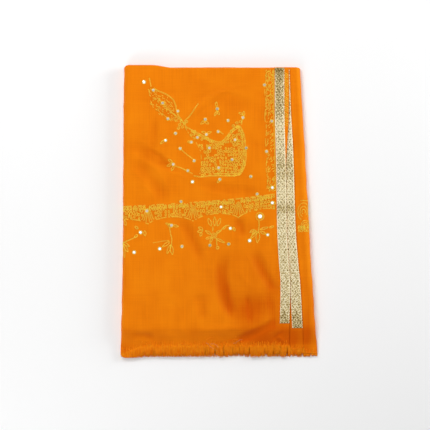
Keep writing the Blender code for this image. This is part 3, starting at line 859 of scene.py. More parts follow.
def buildSecond():
    edge = beside("innerTape", 0.6)
    hidden = beside("innerTape", -bundle["secondHidden"])
    n = sheetDetail["secondAcross"]
    us = [between(edge, hidden, (k / n) ** 1.5) for k in range(n + 1)]
    covered = float(outlineAt["outerTape"](250.0) + outlineAt["margin"](250.0))
    ends = [secondEndAt(float(uAt(bundle["secondEnd"]))) for uAt in us]
    short = [bundle["hiddenShort" if float(uAt(250.0)) < covered - 1 else "secondShort"] for uAt in us]
    tops = [bundle["topOfFront"] - step for step in short]
    rolls, turns = [0.9] * len(us), [0.3] * len(us)
    return buildSheet("secondCloth", us, ends, tops, rolls, turns, placeSecond, secondMaterial, True)


# Gold tapes with a woven lattice.
def latticeHeight(u, v, look, width):
    a = np.abs((u / look["cellAcross"] + v / look["cellAlong"]) % 1.0 - 0.5)
    b = np.abs((u / look["cellAcross"] - v / look["cellAlong"]) % 1.0 - 0.5)
    grooves = 1 - np.minimum(np.minimum(a, b) * 7.0, 1.0)
    cords = np.maximum(bell((u - 0.5) / look["edgeCord"]), bell((width - 0.5 - u) / look["edgeCord"]))
    return look["relief"] * (0.8 - 0.8 * grooves * (1 - cords) + 0.7 * cords)


def buildTape(name, width, end, top, roll, turn, place, material):
    inner = np.arange(0.6, width - 0.5, tapeLook["stepAcross"])
    across = np.concatenate(([-0.4, 0.25], inner, [width - 0.25, width]))
    straight = np.arange(end, top - roll, tapeLook["stepAlong"])
    angles = math.pi * turn * np.linspace(0, 1, 13)[1:] if roll else np.array([])
    v = np.concatenate((straight, top - roll + roll * angles))
    bend = np.concatenate((np.zeros(len(straight)), angles))
    grids = []
    for under in (False, True):
        columns = []
        for a in across:
            relief = latticeHeight(a, v, tapeLook, width) + tapeLook["face"]
            lift = np.full(len(v), tapeLook["under"]) if under else relief
            y = np.concatenate((straight, top - roll + (roll + lift[len(straight):]) * np.sin(angles)))
            inset = np.where(bend > 0, roll - (roll + lift) * np.cos(bend), -lift)
            x, z = place(outlineAt[name](y) - a, y, inset)
            columns.append(np.stack(np.broadcast_arrays(x, y, z), axis=-1))
        grids.append(np.stack(columns, axis=1))
    uv = np.stack(np.broadcast_arrays(across[None, :], v[:, None]), axis=-1)
    return shellPiece(name, *grids, uv, material, True)


outerTape = buildTape(
    "outerTape", bundle["outerTapeWidth"], bundle["outerTapeEnd"], bundle["topOfFront"],
    float(frontRoll(104.0)), bundle["looseTurn"], placeFront,
    tapeMaterial("outerGold", tapeLook, bundle["outerTapeWidth"]))
innerTape = buildTape(
    "innerTape", bundle["innerTapeWidth"], bundle["innerTapeEnd"],
    bundle["topOfFront"] - bundle["secondShort"] - 0.4, 0.0, 0.0, placeSecond,
    tapeMaterial("innerGold", tapeLook, bundle["innerTapeWidth"]))
for piece, node, slot in ((outerTape, "outer_tape", "outer_gold"), (innerTape, "inner_tape", "inner_gold")):
    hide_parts(node)
print("tapes sewn on")


# Stitching: every stitch is a small closed loop of thread that follows the cloth.
stitch = {
    "pitch": 2.8,        # length of one chain stitch
    "width": 1.5,
    "thread": 0.32,      # radius of the thread
    "lift": 0.18,
    "flat": 0.5,         # height of the thread beside its width
    "loopPoints": 7,
    "floor": 0.02,       # no thread lies lower than this
}
tubeAngles = (math.pi / 2, math.pi * 7 / 6, math.pi * 11 / 6)


class StitchBag:
    # Collects the points and faces of many stitches for one mesh.
    def __init__(self, onSheet):
        self.onSheet = onSheet
        self.rng = random.Random(91)
        self.u, self.v, self.lift, self.faces, self.count = [], [], [], [], 0

    def ring(self, path, radius):
        # A closed tube of three sides along path, in unrolled places.
        n = len(path)
        ahead = np.roll(path, -1, axis=0) - np.roll(path, 1, axis=0)
        ahead /= np.maximum(np.linalg.norm(ahead, axis=1, keepdims=True), 1e-6)
        side = np.stack((-ahead[:, 1], ahead[:, 0]), axis=1)
        for angle in tubeAngles:
            offset = path + side * (radius * math.cos(angle))
            self.u.append(offset[:, 0])
            self.v.append(offset[:, 1])
            self.lift.append(np.full(n, stitch["lift"] + stitch["flat"] * radius * math.sin(angle)))
        for k in range(n):
            after = (k + 1) % n
            for s in range(3):
                low, high = self.count + s * n, self.count + (s + 1) % 3 * n
                self.faces.append((low + k, low + after, high + after, high + k))
        self.count += 3 * n

    def link(self, start, end, width, radius):
        # One chain stitch: a drop-shaped loop from start to end.
        along = end - start
        side = np.array((-along[1], along[0])) / max(np.hypot(*along), 1e-6)
        angles = np.arange(stitch["loopPoints"]) * math.tau / stitch["loopPoints"]
        share = 0.5 - 0.56 * np.cos(angles)
        swell = np.sin(angles) * (0.62 + 0.38 * share) * width / 2
        self.ring(start + share[:, None] * along + swell[:, None] * side, radius)

    def chain(self, path, width=None, pitch=None, radius=None, worn=0.0):
        # worn is the share of stitches that are missing.
        path = np.asarray(path, float)
        width, pitch = width or stitch["width"], pitch or stitch["pitch"]
        radius = radius or stitch["thread"]
        reach = np.concatenate(([0.0], np.cumsum(np.linalg.norm(np.diff(path, axis=0), axis=1))))
        count = max(1, round(reach[-1] / pitch))
        marks = np.linspace(0, reach[-1], count + 1)
        spots = np.stack([np.interp(marks, reach, path[:, k]) for k in (0, 1)], axis=1)
        for start, end in zip(spots[:-1], spots[1:]):
            if self.rng.random() >= worn:
                self.link(start, end, width, radius)

    def piece(self, name, material):
        points = self.onSheet(np.concatenate(self.u), np.concatenate(self.v), np.concatenate(self.lift))
        points[:, 2] = np.maximum(points[:, 2], stitch["floor"])    # pressed flat under the bundle
        piece = addPiece(name, points, self.faces, material)
        print(f"{name}: {len(self.faces)} faces")
        return piece


def curvePath(points, steps=10):
    # A smooth curve through a few points.
    points = np.asarray(points, float)
    padded = np.concatenate((2 * points[:1] - points[1:2], points, 2 * points[-1:] - points[-2:-1]))
    found = []
    for k in range(len(points) - 1):
        a, b, c, d = padded[k:k + 4]
        square, cube = 2 * a - 5 * b + 4 * c - d, 3 * b - a - 3 * c + d
        for t in np.arange(steps) / steps:
            found.append(0.5 * (2 * b + (c - a) * t + square * t**2 + cube * t**3))
    found.append(points[-1])
    return np.array(found)


def petal(base, tip, width):
    # A closed leaf outline from base to tip and back.
    base, tip = np.array(base, float), np.array(tip, float)
    along = tip - base
    side = np.array((-along[1], along[0])) / np.hypot(*along)
    share = np.linspace(0, 1, 13)
    bulge = np.sin(math.pi * share**0.85) * width / 2
    left = base + share[:, None] * along + bulge[:, None] * side
    right = base + share[:, None] * along - bulge[:, None] * side
    return np.concatenate((left, right[::-1]))


def insideShape(shape, x, y):
    found = np.zeros(np.shape(x), bool)
    for (x0, y0), (x1, y1) in zip(shape, np.roll(shape, -1, axis=0)):
        if y0 != y1:
            found ^= ((y0 > y) != (y1 > y)) & (x < (x1 - x0) * (y - y0) / (y1 - y0) + x0)
    return found


def oval(centre, width, height, turn=0.0, points=13):
    # A closed egg, narrower towards its top.
    angles = np.linspace(0, math.tau, points)
    x = np.cos(angles) * width / 2 * (1 - 0.18 * np.sin(angles))
    y = np.sin(angles) * height / 2
    c, s = math.cos(turn), math.sin(turn)
    return np.stack((centre[0] + x * c - y * s, centre[1] + x * s + y * c), axis=1)


def loopFill(bag, low, high, bottomAt, topAt, size, seed, keep=lambda x, y: 1.0, lean=0.25):
    # Uneven columns of chain-stitched loops that differ in size and lean, some left out.
    rng = random.Random(seed)
    width, height = size
    columns = max(1, round((high - low) / (width * 0.94)))
    for k in range(columns + 1):
        x = mix(low, high, k / columns)
        bottom, top = float(bottomAt(x)), float(topAt(x))
        rows = max(1, round((top - bottom) / (height * 0.98)))
        step = (top - bottom) / rows
        phase = rng.uniform(0.05, 0.55)
        for row in range(rows + 1):
            y = min(bottom + step * (row + phase), top - height * 0.3)
            spot = (x + rng.uniform(-0.9, 0.9), y + rng.uniform(-0.9, 0.9))
            if rng.random() < keep(*spot):
                scale = rng.uniform(0.62, 1.02)
                wide = width * scale * rng.uniform(0.62, 0.92)
                path = oval(spot, wide, height * scale, rng.uniform(-lean, lean))
                bag.chain(path, width=0.9, pitch=2.3, radius=0.30)


def strokeFill(bag, spots, slant, seed, keep):
    # Short loose strokes of chain stitch, all leaning about the same way.
    rng = random.Random(seed)
    for x, y in spots:
        x, y = x + rng.uniform(-1.2, 1.2), y + rng.uniform(-1.2, 1.2)
        turn, length = slant + rng.uniform(-0.5, 0.5), rng.uniform(2.0, 4.4)
        if rng.random() < keep(x, y):
            ahead = np.array((math.cos(turn), math.sin(turn))) * length / 2
            bag.chain(np.array((x, y)) + np.array((-ahead, ahead)), width=1.1, pitch=2.2, radius=0.28)


# The large motif: a leaf, a stem and a tulip filled with small loops, with shoots that end in mirrors.
motif = {
    "leafRight": [(-119, 220), (-107, 210), (-91, 203), (-79.5, 194), (-75, 184), (-72, 170), (-64, 158)],
    "leafLeft": [(-121, 214), (-119, 200), (-116, 187), (-108, 177), (-97, 168), (-83, 160), (-68, 156)],
    "vein": [(-106, 197), (-90, 180), (-73, 164.5), (-64, 158)],
    "tulipTop": [(-57, 147), (-44, 140), (-31, 133.6), (-17.4, 126.4), (1, 121), (13, 130.5), (23.4, 143.4),
                 (34, 150)],
    "tulipRight": [(35.3, 149), (42, 134.3), (44.5, 115.7), (45.9, 96), (42, 76.2), (35.3, 65)],
    "tulipBottom": [(-43.8, 63), (-30.7, 61.6), (-17.4, 63), (0, 63.6), (20, 63.2), (35.3, 65)],
    "tulipLeft": [(-57, 143.5), (-49, 131.5), (-38.6, 118.4), (-32, 104), (-30.7, 82.8), (-33.3, 66)],
    "stems": [
        [(-60, 157), (-50.5, 166), (-41, 180), (-36, 187)],
        [(-63, 156), (-58, 150), (-57, 144)],
        [(38, 151), (39, 158), (41, 166)],
        [(-66, 109), (-57, 101), (-45, 92)],
        [(-79, 81), (-64, 76), (-46, 67)],
        [(1, 139), (7, 134.5)],
        [(-120, 231), (-117, 216)],
    ],
    "petals": [      # base x, base y, tip x, tip y, width
        (-5, 182, -5, 190, 4), (-4, 174, -8, 166, 3.4), (-3, 174, 0, 167, 3.4),
        (-25, 157, -32, 152, 4), (-25, 157, -18, 152, 4), (42, 166, 42, 174, 4),
        (-80, 86, -88, 92, 3.6), (-82, 83, -90, 80, 3.6), (-78, 80, -82, 72, 3.6),
        (-94, 124, -101, 118, 3.6), (-22, 136, -31, 139, 3.4), (-22, 136, -13, 139, 3.4),
        (-48, 119, -55, 123, 3.4), (27, 127, 34, 122, 3.4), (1, 57, -4, 51, 3.2), (40, 168, 33, 172, 3.2),
    ],
    "knots": [(-68, 151), (-63, 147), (-70, 145), (-60, 153), (-65, 156), (-56, 156), (24, 149), (30, 154),
              (36, 156), (31, 147)],
    "bold": {"width": 2.1, "pitch": 3.3, "radius": 0.42},
    "worn": {"width": 1.1, "radius": 0.26},
}
leafRight, leafLeft, tulipTop, tulipRight, tulipBottom, tulipLeft = [
    curvePath(motif[name])
    for name in ("leafRight", "leafLeft", "tulipTop", "tulipRight", "tulipBottom", "tulipLeft")]
leafShape = np.concatenate((leafRight, leafLeft[::-1]))
tulipShape = np.concatenate((tulipTop, tulipRight, tulipBottom[::-1], tulipLeft[::-1]))


def buildMotif():
    bag = StitchBag(onFront)
    rng = random.Random(5)
    bag.chain(leafRight[6:], **motif["bold"])
    bag.chain(leafLeft, worn=0.6, **motif["worn"])
    bag.chain(curvePath(motif["vein"]), **motif["bold"])
    leafSpots = [(x, y) for x in np.arange(-124, -66, 3.3) for y in np.arange(152, 222, 3.7)]
    strokeFill(bag, leafSpots, 2.3, 6, lambda x, y: 0.62 * insideShape(leafShape, x + 2, y + 2))
    for path in motif["stems"]:
        bag.chain(curvePath(path), width=1.7, pitch=2.9, radius=0.36)
    for x0, y0, x1, y1, width in motif["petals"]:
        bag.chain(petal((x0, y0), (x1, y1), width), width=1.25, pitch=2.4)
    for spot in motif["knots"]:
        bag.chain(oval(spot, 4.0, 4.6, rng.uniform(0, 3)), width=1.3, pitch=2.3)
    # Each edge of the tulip, and a finer second line inside it.
    for edge, inner, width in (
        (tulipTop, tulipTop[8:] + (0.8, -3.6), 1.4),
        (tulipRight, tulipRight + (-3.4, -1.0), 1.3),
        (tulipBottom, tulipBottom[24:] + (0.0, 3.6), 1.4),
    ):
        bag.chain(edge, **motif["bold"])
        bag.chain(inner, width=width)
    bag.chain(tulipLeft, worn=0.65, **motif["worn"])

    def dense(x, y):
        # The filling thins out towards the upper left.
        return insideShape(tulipShape, x, y) * min(0.97, 0.60 + (x - y + 130) / 260)

    loopFill(bag, -52, 43, lambda x: 64, lambda x: 149, (4.8, 5.8), 7, dense, 0.9)
    return bag.piece("motifStitches", goldThread)


# The scalloped border across the cloth, and the narrow one beside the tape.
border = {
    "upper": [(-210, 8), (-162, 10.5), (-76, 15.5), (28, 23.5), (97, 32)],
    "left": -188.0,            # round the left fold
    "cusp": -122.5,            # the first cusp, and from one to the next
    "pitch": 77.6,
    "deep": 33.0,
    "arch": 11.0,
    "nested": (3.0, 7.0, 11.0),
    "rightUpper": 19.0,        # where it crosses the right third
    "rightDeep": 52.0,
    "whorls": [(9.0, -17.0, 15.0, 9.5), (12.0, -41.0, 9.0, 7.0)],    # x, y, half height, half width
    "loop": (4.9, 7.0),
    "sideLow": 38,             # the narrow one beside the tape: from and to
    "sideHigh": 246,
    "sideGap": 2.0,
    "sideWide": 14.2,
}
upperAt = curveThrough([p[0] for p in border["upper"]][::-1], [p[1] for p in border["upper"]][::-1])


def lowerAt(x):
    t = ((x - border["cusp"]) / border["pitch"]) % 1.0 * 2 - 1
    return upperAt(x) - border["deep"] + border["arch"] * np.maximum(1 - t * t, 0.0) ** 0.7


def buildBorder():
    bag = StitchBag(onFront)
    left, widest = border["left"], border["nested"][-1]
    xs = np.arange(left, 96.5, 1.5)
    for low, high, worn in ((left, -150.0, 0.1), (-149.0, 10.0, 0.6), (11.0, 97.0, 0.22)):
        line = xs[(xs >= low) & (xs <= high)]
        bag.chain(np.stack((line, upperAt(line)), axis=1), width=1.9, pitch=3.2, radius=0.42, worn=worn)
    bag.chain(np.stack((xs, lowerAt(xs)), axis=1), width=1.6, pitch=3.0, radius=0.38, worn=0.3)
    # Nested pointed arches over each cusp.
    cusps = [border["cusp"] + k * border["pitch"] for k in range(3)]
    for cusp in cusps:
        low, high = float(lowerAt(cusp)), float(upperAt(cusp)) - 5
        for reach in border["nested"]:
            t = np.linspace(-1, 1, 15)
            ys = low + 3 + (high - low - 3 - (widest - reach) * 0.8) * (1 - np.abs(t) ** 1.6)
            ys = np.maximum(ys, lowerAt(cusp + t * reach) + 2.2)
            bag.chain(np.stack((cusp + t * reach, ys), axis=1), width=1.4, pitch=2.7)

    def away(x, y):
        cusp = min(cusps, key=lambda place: abs(x - place))
        low, high = float(lowerAt(cusp)), float(upperAt(cusp)) - 5
        rise = min(max((y - low) / (high - low), 0.0), 1.0)
        return 0.95 if abs(x - cusp) > widest * (1 - rise) ** 0.62 + 2.4 else 0.0

    loopFill(bag, left, 94, lambda x: lowerAt(x) + 1.8, lambda x: upperAt(x) - 1.6, border["loop"], 17, away)
    return bag.piece("borderStitches", goldThread)


def buildSideBorder():
    bag = StitchBag(onFront)
    right = lambda y: outlineAt["outerTape"](y) - bundle["outerTapeWidth"] - border["sideGap"]
    low, high = border["sideLow"], border["sideHigh"]
    ys = np.arange(low, high, 1.5)
    bag.chain(np.stack((right(ys), ys), axis=1), width=1.4)
    left = right(ys) - border["sideWide"] + 1.1 * np.sin(ys / 7)
    bag.chain(np.stack((left, ys), axis=1), width=1.2, radius=0.26, worn=0.25)
    # Worn thin over a stretch beside the motif.
    spots = [(float(right(y)) - away, y) for y in np.arange(low, high, 2.6) for away in (2.6, 5.8, 9.0, 12.2)]
    strokeFill(bag, spots, 0.9, 9, lambda x, y: 0.88 if y > 172 or y < 60 else 0.42)
    rng = random.Random(9)
    # The margin outside the tape is stitched too, in short slanting runs.
    for y in np.arange(152, 243, 3.4):
        low = float(outlineAt["outerTape"](y)) + 1.4
        high = low + float(outlineAt["margin"](y)) - 3.0
        lean = rng.uniform(2.0, 4.5)
        path = [(low, y), (mix(low, high, 0.5), y - lean * 0.6), (high, y - lean)]
        bag.chain(path, width=1.3, pitch=2.2, radius=0.30)
    return bag.piece("sideStitches", goldThread)


def buildRightBorder():
    # The same border where it crosses the right third, beside the inner tape and round its fold.
    bag = StitchBag(onRight)
    top, deep = border["rightUpper"], border["rightDeep"]
    x0 = float(outlineAt["innerTape"](0)) + 6.0
    for dx, dy, tall, wide in border["whorls"]:
        centre = np.array((x0 + dx, top + dy))
        for size in (1.0, 0.62, 0.28):
            angles = np.linspace(-0.7, 4.3, 24)
            path = centre + np.stack((np.cos(angles) * wide * size, np.sin(angles) * tall * size), axis=1)
            bag.chain(path, width=1.3, pitch=2.6, radius=0.28)
    scallop = lambda x: top - deep + 8 * abs(math.sin((x - x0) / 12))
    loopFill(bag, x0 + 21, x0 + 58, scallop, lambda x: top, border["loop"], 23)
    loopFill(bag, x0 + 1, x0 + 20, lambda x: top - deep, lambda x: top - 42, (4.8, 5.0), 24)
    xs = np.arange(x0 + 4, x0 + 58, 1.5)
    bag.chain(np.stack((xs, np.full(len(xs), top + 2.0)), axis=1), width=1.5)
    return bag.piece("rightStitches", goldThread)


# Sprigs that hang under the border, one in each arch. Mirrors sit at their tips.
sprigs = {
    "petals": [       # base x, base y, tip x, tip y, width
        # At the left fold: a spray below and a rosette above.
        (-166, -52.8, -163, -77.8, 5.5), (-166, -52.8, -156, -67.8, 5), (-166, -50.8, -154, -57.8, 4.4),
        (-167, -49.8, -176, -69.8, 5.5), (-128, -30.8, -127, -39.8, 4.5), (-140, -37.8, -146, -42.8, 4),
        (-139, -27.8, -145, -22.8, 3.6), (-160, -21.8, -164, -11.8, 4.4),
        # Second arch: a bell on a stem.
        (-83, -54.8, -90, -70.8, 4.6), (-83, -54.8, -80, -72.8, 5.2), (-85, -49.8, -98, -58.8, 4.2),
        (-79, -21.8, -70, -23.8, 3.6), (-86, -20.8, -92, -17.8, 3.2),
        # Third arch: three loops over a round flower.
        (-14, -22.8, -19, -8.8, 5), (-8, -22.8, -8, -6.8, 5), (-3, -22.8, 2, -8.8, 5),
        (-5, -33.8, 3, -30.8, 3.6), (-14, -36.8, -24, -30.8, 3.8), (-28, -28.8, -36, -24.8, 4.4),
        (-28, -30.8, -38, -32.8, 4.4), (-30, -33.8, -33, -40.8, 3.8), (-14, -41.8, -24, -44.8, 3.4),
        (24, -24.8, 27, -31.8, 3.6), (11, -22.8, 6, -28.8, 3.2), (-6, -43.8, 10, -51.8, 3.4),
        (-12, -42.8, -16, -51.8, 3.4),
        # Fourth arch: drops under a ringed mirror.
        (67, -32.8, 65, -51.8, 6.4), (65, -31.8, 53, -44.8, 4.2), (63, -29.8, 56, -38.8, 3.6),
        (70, -31.8, 80, -36.8, 4), (70, -28.8, 84, -24.8, 3.4), (60, -28.8, 52, -33.8, 3.2),
        (86, -25.8, 94, -22.8, 3.2),
    ],
    "stems": [
        [(-140, -39.8), (-152, -45.8), (-166, -51.8)],
        [(-85, -25.8), (-83.5, -35.8), (-81.5, -44.8), (-82, -54.8)],
        [(-11, -23.8), (-11, -31.8)],
        [(-5, -37.8), (2, -30.8), (10, -22.8), (17, -21.8)],
        [(-5, -45.8), (-4, -55.8)],
        [(68, -13.8), (68, -23.8), (67, -33.8)],
    ],
    "tendril": [(-86, -47.8), (-98, -48.8), (-114, -51.8)],
    "rings": [        # x, y, width
        (-9, -38.8, 9), (-9, -38.8, 4.6), (-3, -59.8, 5), (69.5, -6.3, 13.5), (-84, -21.8, 7.4),
    ],
    "fine": {"width": 1.3, "pitch": 2.5, "radius": 0.32},
}


def buildSprigs():
    bag = StitchBag(onFront)
    for x0, y0, x1, y1, width in sprigs["petals"]:
        bag.chain(petal((x0, y0), (x1, y1), width), **sprigs["fine"])
    for path in sprigs["stems"]:
        bag.chain(curvePath(path), width=1.6, pitch=2.8, radius=0.36)
    bag.chain(curvePath(sprigs["tendril"]), width=1.1, pitch=3.4, radius=0.24)
    for x, y, wide in sprigs["rings"]:
        bag.chain(oval((x, y), wide, wide, 0.4, 19), **sprigs["fine"])
    return bag.piece("sprigStitches", goldThread)


def underStitches(x, y):
    # 1 under the close embroidery of the front third, 0 elsewhere: where shadow of the stitches is painted on
    # the cloth.
    tapeSide = outlineAt["outerTape"](y) - bundle["outerTapeWidth"]
    found = (y < upperAt(x)) & (y > lowerAt(x)) & (x < tapeSide)
    inSide = (x < tapeSide - border["sideGap"]) & (x > tapeSide - border["sideGap"] - 14)
    found |= inSide & (y > border["sideLow"]) & (y < border["sideHigh"])
    for shape in (leafShape, tulipShape):
        found |= insideShape(shape, x, y)
    return found * 1.0


frontCloth = buildFront()
rightCloth = buildRight()
secondCloth = buildSecond()
for piece, node, slot in (
    (frontCloth, "front_third", "front_cloth"),
    (rightCloth, "right_fold", "right_cloth"),
    (secondCloth, "second_ply", "second_cloth"),
):
    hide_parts(node)
print("cloth laid")


motifStitches = buildMotif()
borderStitches = buildBorder()
sideStitches = buildSideBorder()
rightStitches = buildRightBorder()
sprigStitches = buildSprigs()


# Small round mirrors, each in a stitched rim: place on the cloth and radius. The leaning ones are rougher,
# with a darker pinkish colour as painted reflection.
mirrors = {
    "level": [
        (-129, 224, 2.6), (-46, 53, 2.4), (-92, 124, 2.1), (91, 43, 2.4), (91, 17, 2.6), (70, -6.3, 3.5),
        (3, 10, 2.2), (-135, -33.8, 2.5), (-146, -67.8, 2.6), (-102, -61.8, 2.5), (19, -26.8, 2.4),
        (52, -47.8, 2.7), (83, -37.8, 2.2),
    ],
    "leaning": [
        (-113, 210, 2.2), (-97, 188, 2.2), (-71, 174, 2), (-88, 161, 2.2), (-75, 136, 2.2), (-67, 110, 2.1),
        (-79, 83, 2.2), (-43, 89, 2.1), (-54, 72, 2), (-24, 160, 2.2), (-3.5, 178, 2.3), (-22, 134, 2.1),
        (-37.5, 129, 2.1), (-48, 121, 2.1), (-17, 111, 2.2), (-2, 139, 2.1), (15, 158, 2.1), (40.5, 163, 2.2),
        (27, 125, 2.1), (46, 111, 2.1), (22, 91, 2.2), (-1, 77, 2.1), (1, 57, 2.1), (54, 62, 2.1),
        (77.5, 219, 2.2), (90, 157, 2.1), (81, 105, 2.2), (65, 32, 2.1), (-124, 3, 2.4), (-65.5, 19, 2.1),
        (-82, -21.8, 2.4),
        (-64, -57.8, 2.2), (-16, -55.8, 2.2), (16, -53.8, 2.2), (-178, -17.8, 2.2),
    ],
    "levelLean": 0.6,             # degrees
    "lean": (7.0, 11.0),          # smallest and largest, away from the light
    "sides": 14,
    "profile": ((1.0, 0.10), (1.0, 0.40), (0.90, 0.46), (0.0, 0.46)),    # share of the radius, height
    "rimThread": 0.34,
    "rimGaps": (0.35, 0.95),
}


def buildMirrors():
    points, faces = [], []
    rims = StitchBag(onFront)
    rng = random.Random(31)
    sides = mirrors["sides"]
    spots = [(spot, mirrors["levelLean"]) for spot in mirrors["level"]]
    spots += [(spot, rng.uniform(*mirrors["lean"])) for spot in mirrors["leaning"]]
    for (u, v, radius), degrees in spots:
        start = len(points)
        lean, turn = math.radians(degrees), rng.uniform(-1.6, 0.3)
        middle = onFront(u, v, 0.0)
        for share, rise in mirrors["profile"]:
            for k in range(sides if share else 1):
                angle = math.tau * k / sides
                du, dv = radius * share * math.cos(angle), radius * share * math.sin(angle)
                tip = (du * math.cos(turn) + dv * math.sin(turn)) * math.tan(lean)
                points.append(middle + (du, dv, rise + 0.2 + radius * math.tan(lean) * 0.7 - tip))
        for ring in (0, 1):
            for k in range(sides):
                a, b = start + ring * sides + k, start + ring * sides + (k + 1) % sides
                faces.append((a, b, b + sides, a + sides))
        middle = start + 3 * sides
        for k in range(sides):
            faces.append((start + 2 * sides + k, start + 2 * sides + (k + 1) % sides, middle))
        faces.append(tuple(start + k for k in reversed(range(sides))))
        angles = np.linspace(0, math.tau, 18)[:-1]
        for gap in mirrors["rimGaps"]:
            spread = (radius + gap) * np.stack((np.cos(angles), np.sin(angles)), axis=1)
            rims.ring(np.array((u, v)) + spread, mirrors["rimThread"])
    discs = addPiece("mirrorDiscs", np.array(points), faces, mirrorGlass)
    discs.data.shade_flat()
    discs.data.materials.append(dullGlassPaintedReflection)
    # The leaning mirrors take the rougher finish with the painted reflection.
    bright = len(mirrors["level"]) * (3 * sides + 1)
    for k, face in enumerate(discs.data.polygons):
        face.material_index = 0 if k < bright else 1
    return discs, rims.piece("mirrorRims", goldThread)


mirrorDiscs, mirrorRims = buildMirrors()
print("embroidery stitched")


# Frayed ends: many thin threads drawn together into uneven tufts.
fringe = {
    "thread": 0.33,
    "rings": 6,
    "rooted": 1.5,           # how far each thread lies in the cloth before its end
    "fray": 9.0,             # how much further a few of them lie loose on it
    "cornerRound": 10.0,     # the left corner, seen from above
    "sunk": 0.42,            # how deep it lies there under the cloth's face
    "calm": 0.3,             # how ragged the left part is beside the right one
    "roughFrom": -50.0,
    "roughWidth": 50.0,
    "tuftWidth": (4.0, 13.0),
    "straightEnd": -249.2,   # no tip reaches beyond these: on the calm left, and on the ragged right
    "raggedEnd": -251.4,
    "front": {"from": -176.0, "to": 121.4, "count": 1300, "length": 19.0, "droop": 0.42},
    "second": {"from": 119.0, "to": 146.0, "count": 120, "length": 11.0, "droop": 0.40},
    "right": {"from": 146.5, "to": 173.0, "count": 110, "length": 5.2, "droop": 0.30},
    "floor": {"from": -165.0, "to": 160.0, "count": 760, "length": 6.5, "droop": 0.15},
    "inner": {"from": -160.0, "to": 108.0, "count": 520, "length": 11.0, "droop": 0.60},
}


def threadTube(points, faces, path, radius):
    # A tapering tube of three sides along a path in space.
    start, n = len(points), len(path)
    for k, spot in enumerate(path):
        ahead = path[min(k + 1, n - 1)] - path[max(k - 1, 0)]
        ahead = ahead / max(np.linalg.norm(ahead), 1e-6)
        side = np.cross(ahead, (0.0, 0.0, 1.0))
        side = side / max(np.linalg.norm(side), 1e-6)
        up = np.cross(side, ahead)
        size = radius * (1.0 if k < n - 1 else 0.35)
        for angle in tubeAngles:
            points.append(spot + size * (math.cos(angle) * side + math.sin(angle) * up))
    for k in range(n - 1):
        for s in range(3):
            a, b = start + 3 * k + s, start + 3 * k + (s + 1) % 3
            faces.append((a, b, b + 3, a + 3))
    faces.append((start + 2, start + 1, start))
    faces.append((start + 3 * n - 3, start + 3 * n - 2, start + 3 * n - 1))


def buildThreads(name, spec, endAt, surfaceAt, seed):
    # endAt gives the Y of the cloth's end at the unrolled place u, surfaceAt the cloth's point at u and Y.
    rng = random.Random(seed)
    cornerRound = fringe["cornerRound"]
    tufts = [spec["from"]]
    while tufts[-1] < spec["to"]:
        tufts.append(tufts[-1] + rng.uniform(*fringe["tuftWidth"]))
    tuftReach = [rng.uniform(-0.20, 0.10) for _ in tufts]
    tuftLean = [rng.uniform(-1.6, 1.6) for _ in tufts]
    points, faces = [], []
    for k in range(spec["count"]):
        u = mix(spec["from"], spec["to"], (k + rng.random()) / spec["count"])
        nearest = min(range(len(tufts)), key=lambda t: abs(tufts[t] - u))
        rough = mix(fringe["calm"], 1.0, float(ease((u - fringe["roughFrom"]) / fringe["roughWidth"])))
        pull = rough * ((tufts[nearest] - u) * rng.uniform(0.0, 0.5) + tuftLean[nearest])
        pull += rng.uniform(-0.8, 0.8)
        reach = spec["length"] * (1 + rough * tuftReach[nearest]) * rng.uniform(mix(0.9, 0.76, rough), 1.0)
        end = endAt(u)
        root = np.array(surfaceAt(u, end), float).ravel()
        droop = spec["droop"] + rng.uniform(-0.12, 0.12)
        curl = rng.uniform(-0.7, 0.7)
        corner = max(cornerRound - (root[0] - outlineRows[-1][1]), 0.0)       # how far into the left corner
        rounding = cornerRound - math.sqrt(max(cornerRound**2 - corner**2, 0.0))
        lowest = mix(fringe["straightEnd"], fringe["raggedEnd"], rough) + rounding
        rooted = fringe["rooted"] + fringe["fray"] * rng.random() ** 5 * (spec["droop"] > 0.2)
        path = []
        for t in np.linspace(0, 1, fringe["rings"]):
            y = end + rooted - (reach + rooted) * t
            fall = max(end - y, 0.0) / reach
            hanging = root * (1, 1, 1 - droop * fall**1.8)
            x, _, z = np.array(surfaceAt(u, y), float).ravel() if y > end else hanging
            z = max(z + rng.uniform(-0.1, 0.1), fringe["thread"])
            if y > end + fringe["rooted"]:
                z += fringe["sunk"] + 0.2
            path.append(np.array((x + pull * t**1.3 + curl * math.sin(t * 5.0) * t, max(y, lowest), z)))
        threadTube(points, faces, path, fringe["thread"])
    piece = addPiece(name, np.array(points), faces, saffronThread)
    print(f"{name}: {len(faces)} faces")
    return piece


frontThreads = buildThreads(
    "frontThreads", fringe["front"], frontEndAt, lambda u, y: onFront(u, y, -fringe["sunk"]), 41)
secondThreads = buildThreads(
    "secondThreads", fringe["second"], secondEndAt,
    lambda u, y: (u, y, float(secondHeight(u, y)) - fringe["sunk"]), 43)
rightThreads = buildThreads(
    "rightThreads", fringe["right"], rightEndAt, lambda u, y: onRight(u, y, -fringe["sunk"]), 47)
floorThreads = buildThreads(
    "floorThreads", fringe["floor"], lambda u: bundle["rightEnd"], lambda u, y: (u, y, 0.5), 53)
for piece, side in (
    (frontThreads, "front"), (secondThreads, "second"), (rightThreads, "right"), (floorThreads, "floor"),
):
    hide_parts(side + "_fringe")
print("ends frayed")


